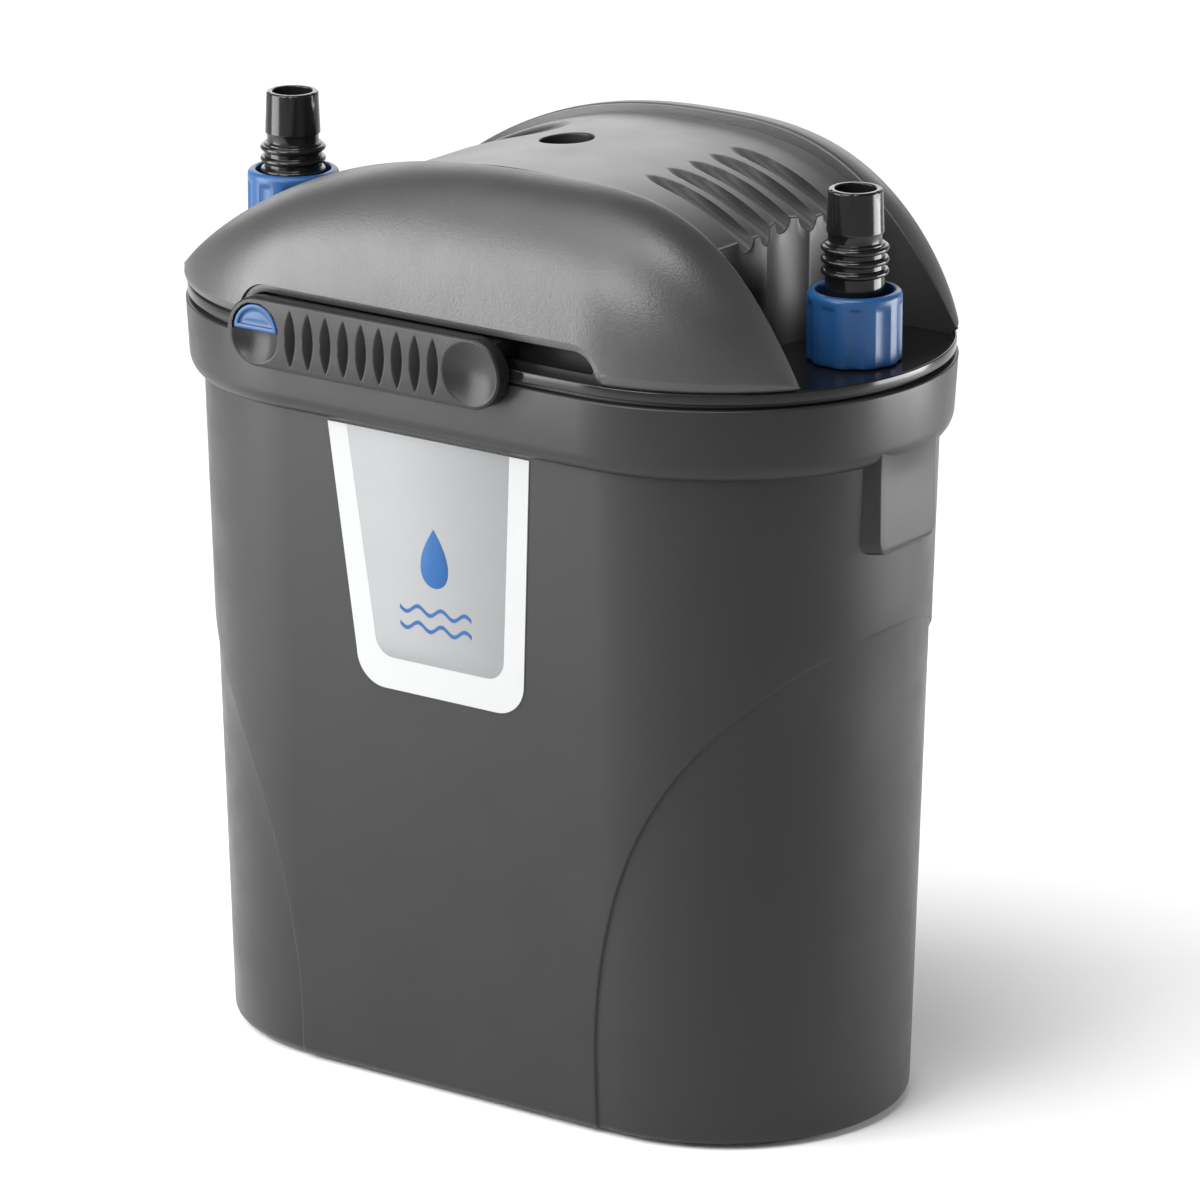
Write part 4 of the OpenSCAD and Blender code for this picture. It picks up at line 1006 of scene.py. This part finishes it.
def build_latch(name, node, side, body):
    """A latch bar: the front as a fine sheet, the rim and the back. side is -1 for the rear one."""
    soup = Soup()
    ends_t = 1 - np.cos(np.linspace(0, math.pi / 2, 26))
    x = np.concatenate([
        LATCH_X0 + 0.02 + (LATCH_R - 0.02) * ends_t,
        np.arange(BUTTON_X + 0.35, DISH_X - 0.1, 0.325),
        LATCH_X1 - 0.02 - (LATCH_R - 0.02) * ends_t[::-1]])
    x = np.unique(np.round(x, 4))
    v = np.sin(np.linspace(-math.pi / 2, math.pi / 2, 73))
    near = np.clip(x, BUTTON_X, DISH_X)
    half = np.sqrt(np.maximum(1e-6, LATCH_R ** 2 - (x - near) ** 2))
    xx = np.broadcast_to(x, (len(v), len(x)))
    zz = v[:, None] * half[None, :]
    # the pocket that the button stands in
    pocket = (np.hypot(xx - BUTTON_X, zz - BUTTON_FLAT_Z) < POCKET_R) & (zz > BUTTON_FLAT_Z)
    depth = np.where(pocket, POCKET_DEPTH, latch_depth(xx, zz))

    def place(px, py, pz):
        return np.stack([px * side, py * side, LATCH_Z + pz], -1)

    soup.grid(place(xx, depth - LATCH_FACE, zz))
    rim_x, rim_z = np.concatenate([x, x[::-1]]), np.concatenate([zz[0], zz[-1][::-1]])
    rings = [place(rim_x, latch_depth(rim_x, rim_z) - LATCH_FACE, rim_z)]
    for inset, y in [(0, -LATCH_FACE + 2.5), (0, -LATCH_BACK - 0.4), (0.12, -LATCH_BACK - 0.1),
                     (0.4, -LATCH_BACK)]:
        rings.append(place((rim_x - LATCH_X) * (1 - inset / 49.5) + LATCH_X,
                           np.full(len(rim_x), y), rim_z * (1 - inset / LATCH_R)))
    soup.loft(rings, start=False)
    for x0, x1, z0, z1, y0, y1 in LATCH_BLOCKS:
        base_x, base_z = round_box(x0, x1, z0, z1, 0.6, 3).T
        soup.loft([place(base_x, np.full(len(base_x), y), base_z) for y in (y0, y1)])
    add_piece(name, soup, [latch_grey], body, [node], sharp=42, weld=0.002)


def half_disc_line(r, inset):
    """Outline of the button: a half disc standing on its flat side, with everything moved in."""
    q = r - inset
    low = math.degrees(math.asin(min(0.999, inset / q)))
    top = arc(0, 0, q, low, 180 - low, 36)
    flat = [(x, inset) for x in np.linspace(top[-1][0], top[0][0], 14)[1:-1]]
    return np.array(top + flat)


def build_button(name, node, side, body):
    """A release button: a half disc with a round edge and a shallow hollow face."""
    soup = Soup()
    face = LATCH_FACE - 0.2
    lines = [(0.0, 72.7), (0.0, face - 0.5), (0.1, face - 0.2), (0.3, face - 0.05), (0.55, face),
             (1.25, face), (1.4, face - 0.08), (1.5, face - 0.5), (1.65, face - 0.62),
             (2.6, face - 0.62), (3.4, face - 0.5)]
    rings = []
    for inset, y in lines:
        p = half_disc_line(BUTTON_R, inset)
        rings.append(np.stack([(BUTTON_X + p[:, 0]) * side, np.full(len(p), -y) * side,
                               LATCH_Z + BUTTON_FLAT_Z + p[:, 1]], -1))
    soup.loft(rings)
    add_piece(name, soup, [button_blue], body, [node], sharp=45)


def build_spring(name, node, side, body):
    """The coil spring behind a release button."""
    soup = Soup()
    coil, wire, turns = 1.6, 0.3, 4
    y0, y1 = -72.35, -65.75
    t = np.linspace(0, 2 * math.pi * turns, 40 * turns)
    rings = []
    for angle in t:
        y = y0 + (y1 - y0) * angle / t[-1]
        rings.append([((BUTTON_X + (coil + wire * math.cos(a)) * math.cos(angle)) * side,
                       (y + wire * math.sin(a)) * side,
                       SPRING_Z + (coil + wire * math.cos(a)) * math.sin(angle))
                      for a in np.linspace(0, 2 * math.pi, 11)[:-1]])
    soup.loft(rings)
    obj = add_piece(name, soup, [steel], body, [node], weld=0.0005)
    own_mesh(obj)


# ---- hose connectors ----

NUT_R = nut_high[0] - CONNECTOR_X
NUT_FLUTES, FLUTE_DEPTH, NUT_EDGE, LIP_LOW_Z = 10, 0.7, 1.6, 246.6
TAIL_R, BARB_Z, BARB_PITCH, BARB_R, TAIL_NOTCH = 8.6, 257.4, 3.45, 0.95, 0.22


def build_nut(name, node, x, body):
    """A union nut: scallops round its side, and a lip inside that holds the hose tail's flange."""
    soup = Soup()
    low, top, r, lip = nut_low[2], node_box(node)[1][2], NUT_R, LIP_LOW_Z
    profile = [(11.95, low), (r - 0.6, low), (r - 0.15, low + 0.2), (r, low + 0.7)]
    profile += [(r, z) for z in np.linspace(low + 2, top - 4.4, 8)]
    profile += [(r, z) for z in np.linspace(top - 4.0, top - 1.7, 6)]
    profile += arc(r - NUT_EDGE, top - NUT_EDGE, NUT_EDGE, 10, 90, 7)
    profile += [(11.8, top), (11.45, top - 0.15), (11.3, top - 0.6), (11.3, lip + 1.8),
                (10.2, lip + 1.8), (10.2, lip), (11.95, lip)]

    def flute(angles, radius, z):
        """The scallops fade out under the top edge and don't reach the inside."""
        if radius < r - 2.2:
            return 0 * angles
        wave = np.abs(((angles * NUT_FLUTES / (2 * math.pi)) % 1) - 0.5) * 2
        depth = FLUTE_DEPTH * np.maximum(0, 1 - (wave / 0.62) ** 2)
        return -depth * float(ease((top - 2.4 - z) / 1.6))

    turned(soup, profile, (x, 0, 0), 320, radius_change=flute)
    add_piece(name, soup, [nut_blue], body, [node], sharp=50)


def build_tail(name, node, x, body):
    """A hose tail: flange, three round barbs, a step, and a mouth with six notches."""
    soup = Soup()
    f, top, r = tail_low[2], tail_high[2], TAIL_R
    profile = [(6.0, f), (11.4, f), (11.6, f + 0.2), (11.6, f + 2.4), (11.4, f + 2.6), (r, f + 2.6)]
    for k in range(3):
        z = BARB_Z + BARB_PITCH * k
        profile += [(r, z - 1.15), (r + 0.15, z - BARB_R)]
        profile += arc(r + 0.3, z, BARB_R, -65, 65, 8)
        profile += [(r + 0.15, z + BARB_R), (r, z + 1.15)]
    profile += [(r, 265.8), (8.2, 266.0), (7.8, 266.25), (7.8, 268.4), (7.9, 268.65),
                (8.2, 268.75), (8.3, 268.95), (8.3, 269.3)]
    profile += [(8.3 - 0.45 * t, 269.3 + (top - 270.3) * t) for t in (0.2, 0.4, 0.6, 0.8, 1.0)]
    profile += arc(7.15, top - 0.7, 0.7, 0, 90, 5) + arc(6.4, top - 0.4, 0.4, 90, 180, 4)

    def notch(angles, radius, z):
        cut = (np.cos(angles * 6) > 0.93) & (z > top - 1.2) & (radius > 6.6)
        return np.where(cut, -TAIL_NOTCH, 0.0)

    turned(soup, profile, (x, 0, 0), 144, radius_change=notch)
    add_piece(name, soup, [gloss_black], body, [node], sharp=35)


# ---- stage ----

FLOOR_HALF = 9.0
CAMERA_LENS, CAMERA_SENSOR, CAMERA_CLIP = 232.4, 36.0, (0.1, 50.0)
CAMERA_AT, CAMERA_TARGET = (1306.1, -1769.8, 814.8), (7.8, 5.7, 140.5)
SUN_POWER, SUN_ANGLE, SUN_TILT = 2.2, 50, (24, -14, 0)
LIGHT_TARGET = (0, 0, 130)
# name, azimuth, distance, height, size and power of each soft box
BOXES = [
    ("key_box", -136, 900, 330, (600, 760), 13.5),
    ("front_box", -95, 780, 640, (420, 240), 4.0),
    ("right_box", 40, 900, 150, (600, 330), 8.0),
    ("over_box", -52, 370, 1080, (330, 330), 3.0),
    ("backdrop_box", 126, 1500, 800, (1700, 900), 9.0),
]


def add_object(name, data, position=(0, 0, 0), target=None):
    """A new object, turned so that its -Z axis runs to the target."""
    obj = bpy.data.objects.new(name, data)
    obj.location = Vector(position) * MM
    if target:
        obj.rotation_mode = "QUATERNION"
        aim = Vector(target) * MM - obj.location
        obj.rotation_quaternion = aim.to_track_quat("-Z", "Y")
    bpy.context.scene.collection.objects.link(obj)
    return obj


def build_floor():
    """The pale floor, which is stage and not part of the object."""
    half = FLOOR_HALF
    mesh = bpy.data.meshes.new("floor")
    mesh.from_pydata([(-half, -half, 0), (half, -half, 0), (-half, half, 0), (half, half, 0)], [],
                     [(0, 1, 3, 2)])
    m, tree, shader, coords = start_material("floor_pale")
    shade = blend_colour(tree, noise(tree, coords, 3.0), (0.76, 0.76, 0.76), (0.78, 0.78, 0.78))
    feed_all(tree, shader, Base_Color=shade, Roughness=0.9)
    mesh.materials.append(m)
    add_object("floor", mesh)


def build_lights():
    """A pale studio: a soft light from above, and upright soft boxes round the sides."""
    scene = bpy.context.scene
    scene.view_settings.view_transform = "Standard"
    world = bpy.data.worlds.new("studio")
    world.use_nodes = True
    tree = world.node_tree
    up = new_node(tree, "SeparateXYZ", Vector=new_node(tree, "TexCoord").outputs["Generated"])
    feed_all(tree, tree.nodes["Background"], Color=(1.0, 1.0, 1.0, 1),
             Strength=spread(tree, up.outputs["Z"], 0.6, 0.12, 0.05, 0.5))
    scene.world = world
    sun = bpy.data.lights.new("top_light", "SUN")
    sun.energy, sun.angle = SUN_POWER, math.radians(SUN_ANGLE)
    add_object("top_light", sun).rotation_euler = [math.radians(a) for a in SUN_TILT]
    for name, azimuth, distance, height, size, power in BOXES:
        light = bpy.data.lights.new(name, "AREA")
        light.shape, light.energy = "RECTANGLE", power
        light.size, light.size_y = size[0] * MM, size[1] * MM
        a = math.radians(azimuth)
        add_object(name, light, (distance * math.cos(a), distance * math.sin(a), height),
                   LIGHT_TARGET)


def build_camera():
    """The camera that was fitted to the photo."""
    camera = bpy.data.cameras.new("photo_camera")
    camera.lens, camera.sensor_width = CAMERA_LENS, CAMERA_SENSOR
    camera.clip_start, camera.clip_end = CAMERA_CLIP
    bpy.context.scene.camera = add_object("photo_camera", camera, CAMERA_AT, CAMERA_TARGET)


build_camera()
build_floor()
build_lights()
build_tank()
build_feet()
build_label()
build_ledge()
build_seals()
build_shell("front_shell_moulding", "front_shell", -1, FRONT_RIDGE, SLOT_LO, SLOT_HI)
build_shell("rear_shell_moulding", "rear_shell", 1, REAR_RIDGE, -SLOT_HI, -SLOT_LO)
build_bridge()
build_screw()
build_gland()
for word, side in (("front", 1), ("rear", -1)):
    build_latch(f"{word}_latch_bar", f"{word}_latch", side, f"{word}_latch")
    build_button(f"{word}_release", f"{word}_latch_button", side, f"{word}_button")
    build_spring(f"{word}_release_spring", f"{word}_button_spring", side, f"{word}_latch")
for word, side in (("outlet", 1), ("inlet", -1)):
    build_nut(f"{word}_nut", f"{word}_union_nut", side * CONNECTOR_X, f"{word}_nut")
    build_tail(f"{word}_tail", f"{word}_hose_tail", side * CONNECTOR_X, f"{word}_tail")

NODE_MATERIALS = {
    "front_latch_rail": matt_black, "rear_latch_rail": matt_black, "cover_screws": steel,
    "motor_housing": inner_black, "motor_lid": inner_black, "stator_core": lamination,
    "stator_coil": copper, "rotor_shaft": ceramic_white, "shaft_bush_upper": rubber_black,
    "shaft_bush_lower": rubber_black, "pump_cover": inner_black, "pump_cover_screws": steel,
    "inlet_washer": rubber_black, "outlet_washer": rubber_black, "intake_pipe": inner_black,
    "rotor_magnet": ferrite, "impeller": white_plastic, "lower_basket": inner_black,
    "upper_basket": inner_black, "coarse_foam": foam_blue, "fine_foam": foam_black,
    "bio_rings": sintered, "polishing_pad": floss_white, "basket_handle": nut_blue,
}
for node, material in NODE_MATERIALS.items():
    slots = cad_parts[node].data.materials
    slots.clear()
    slots.append(material)
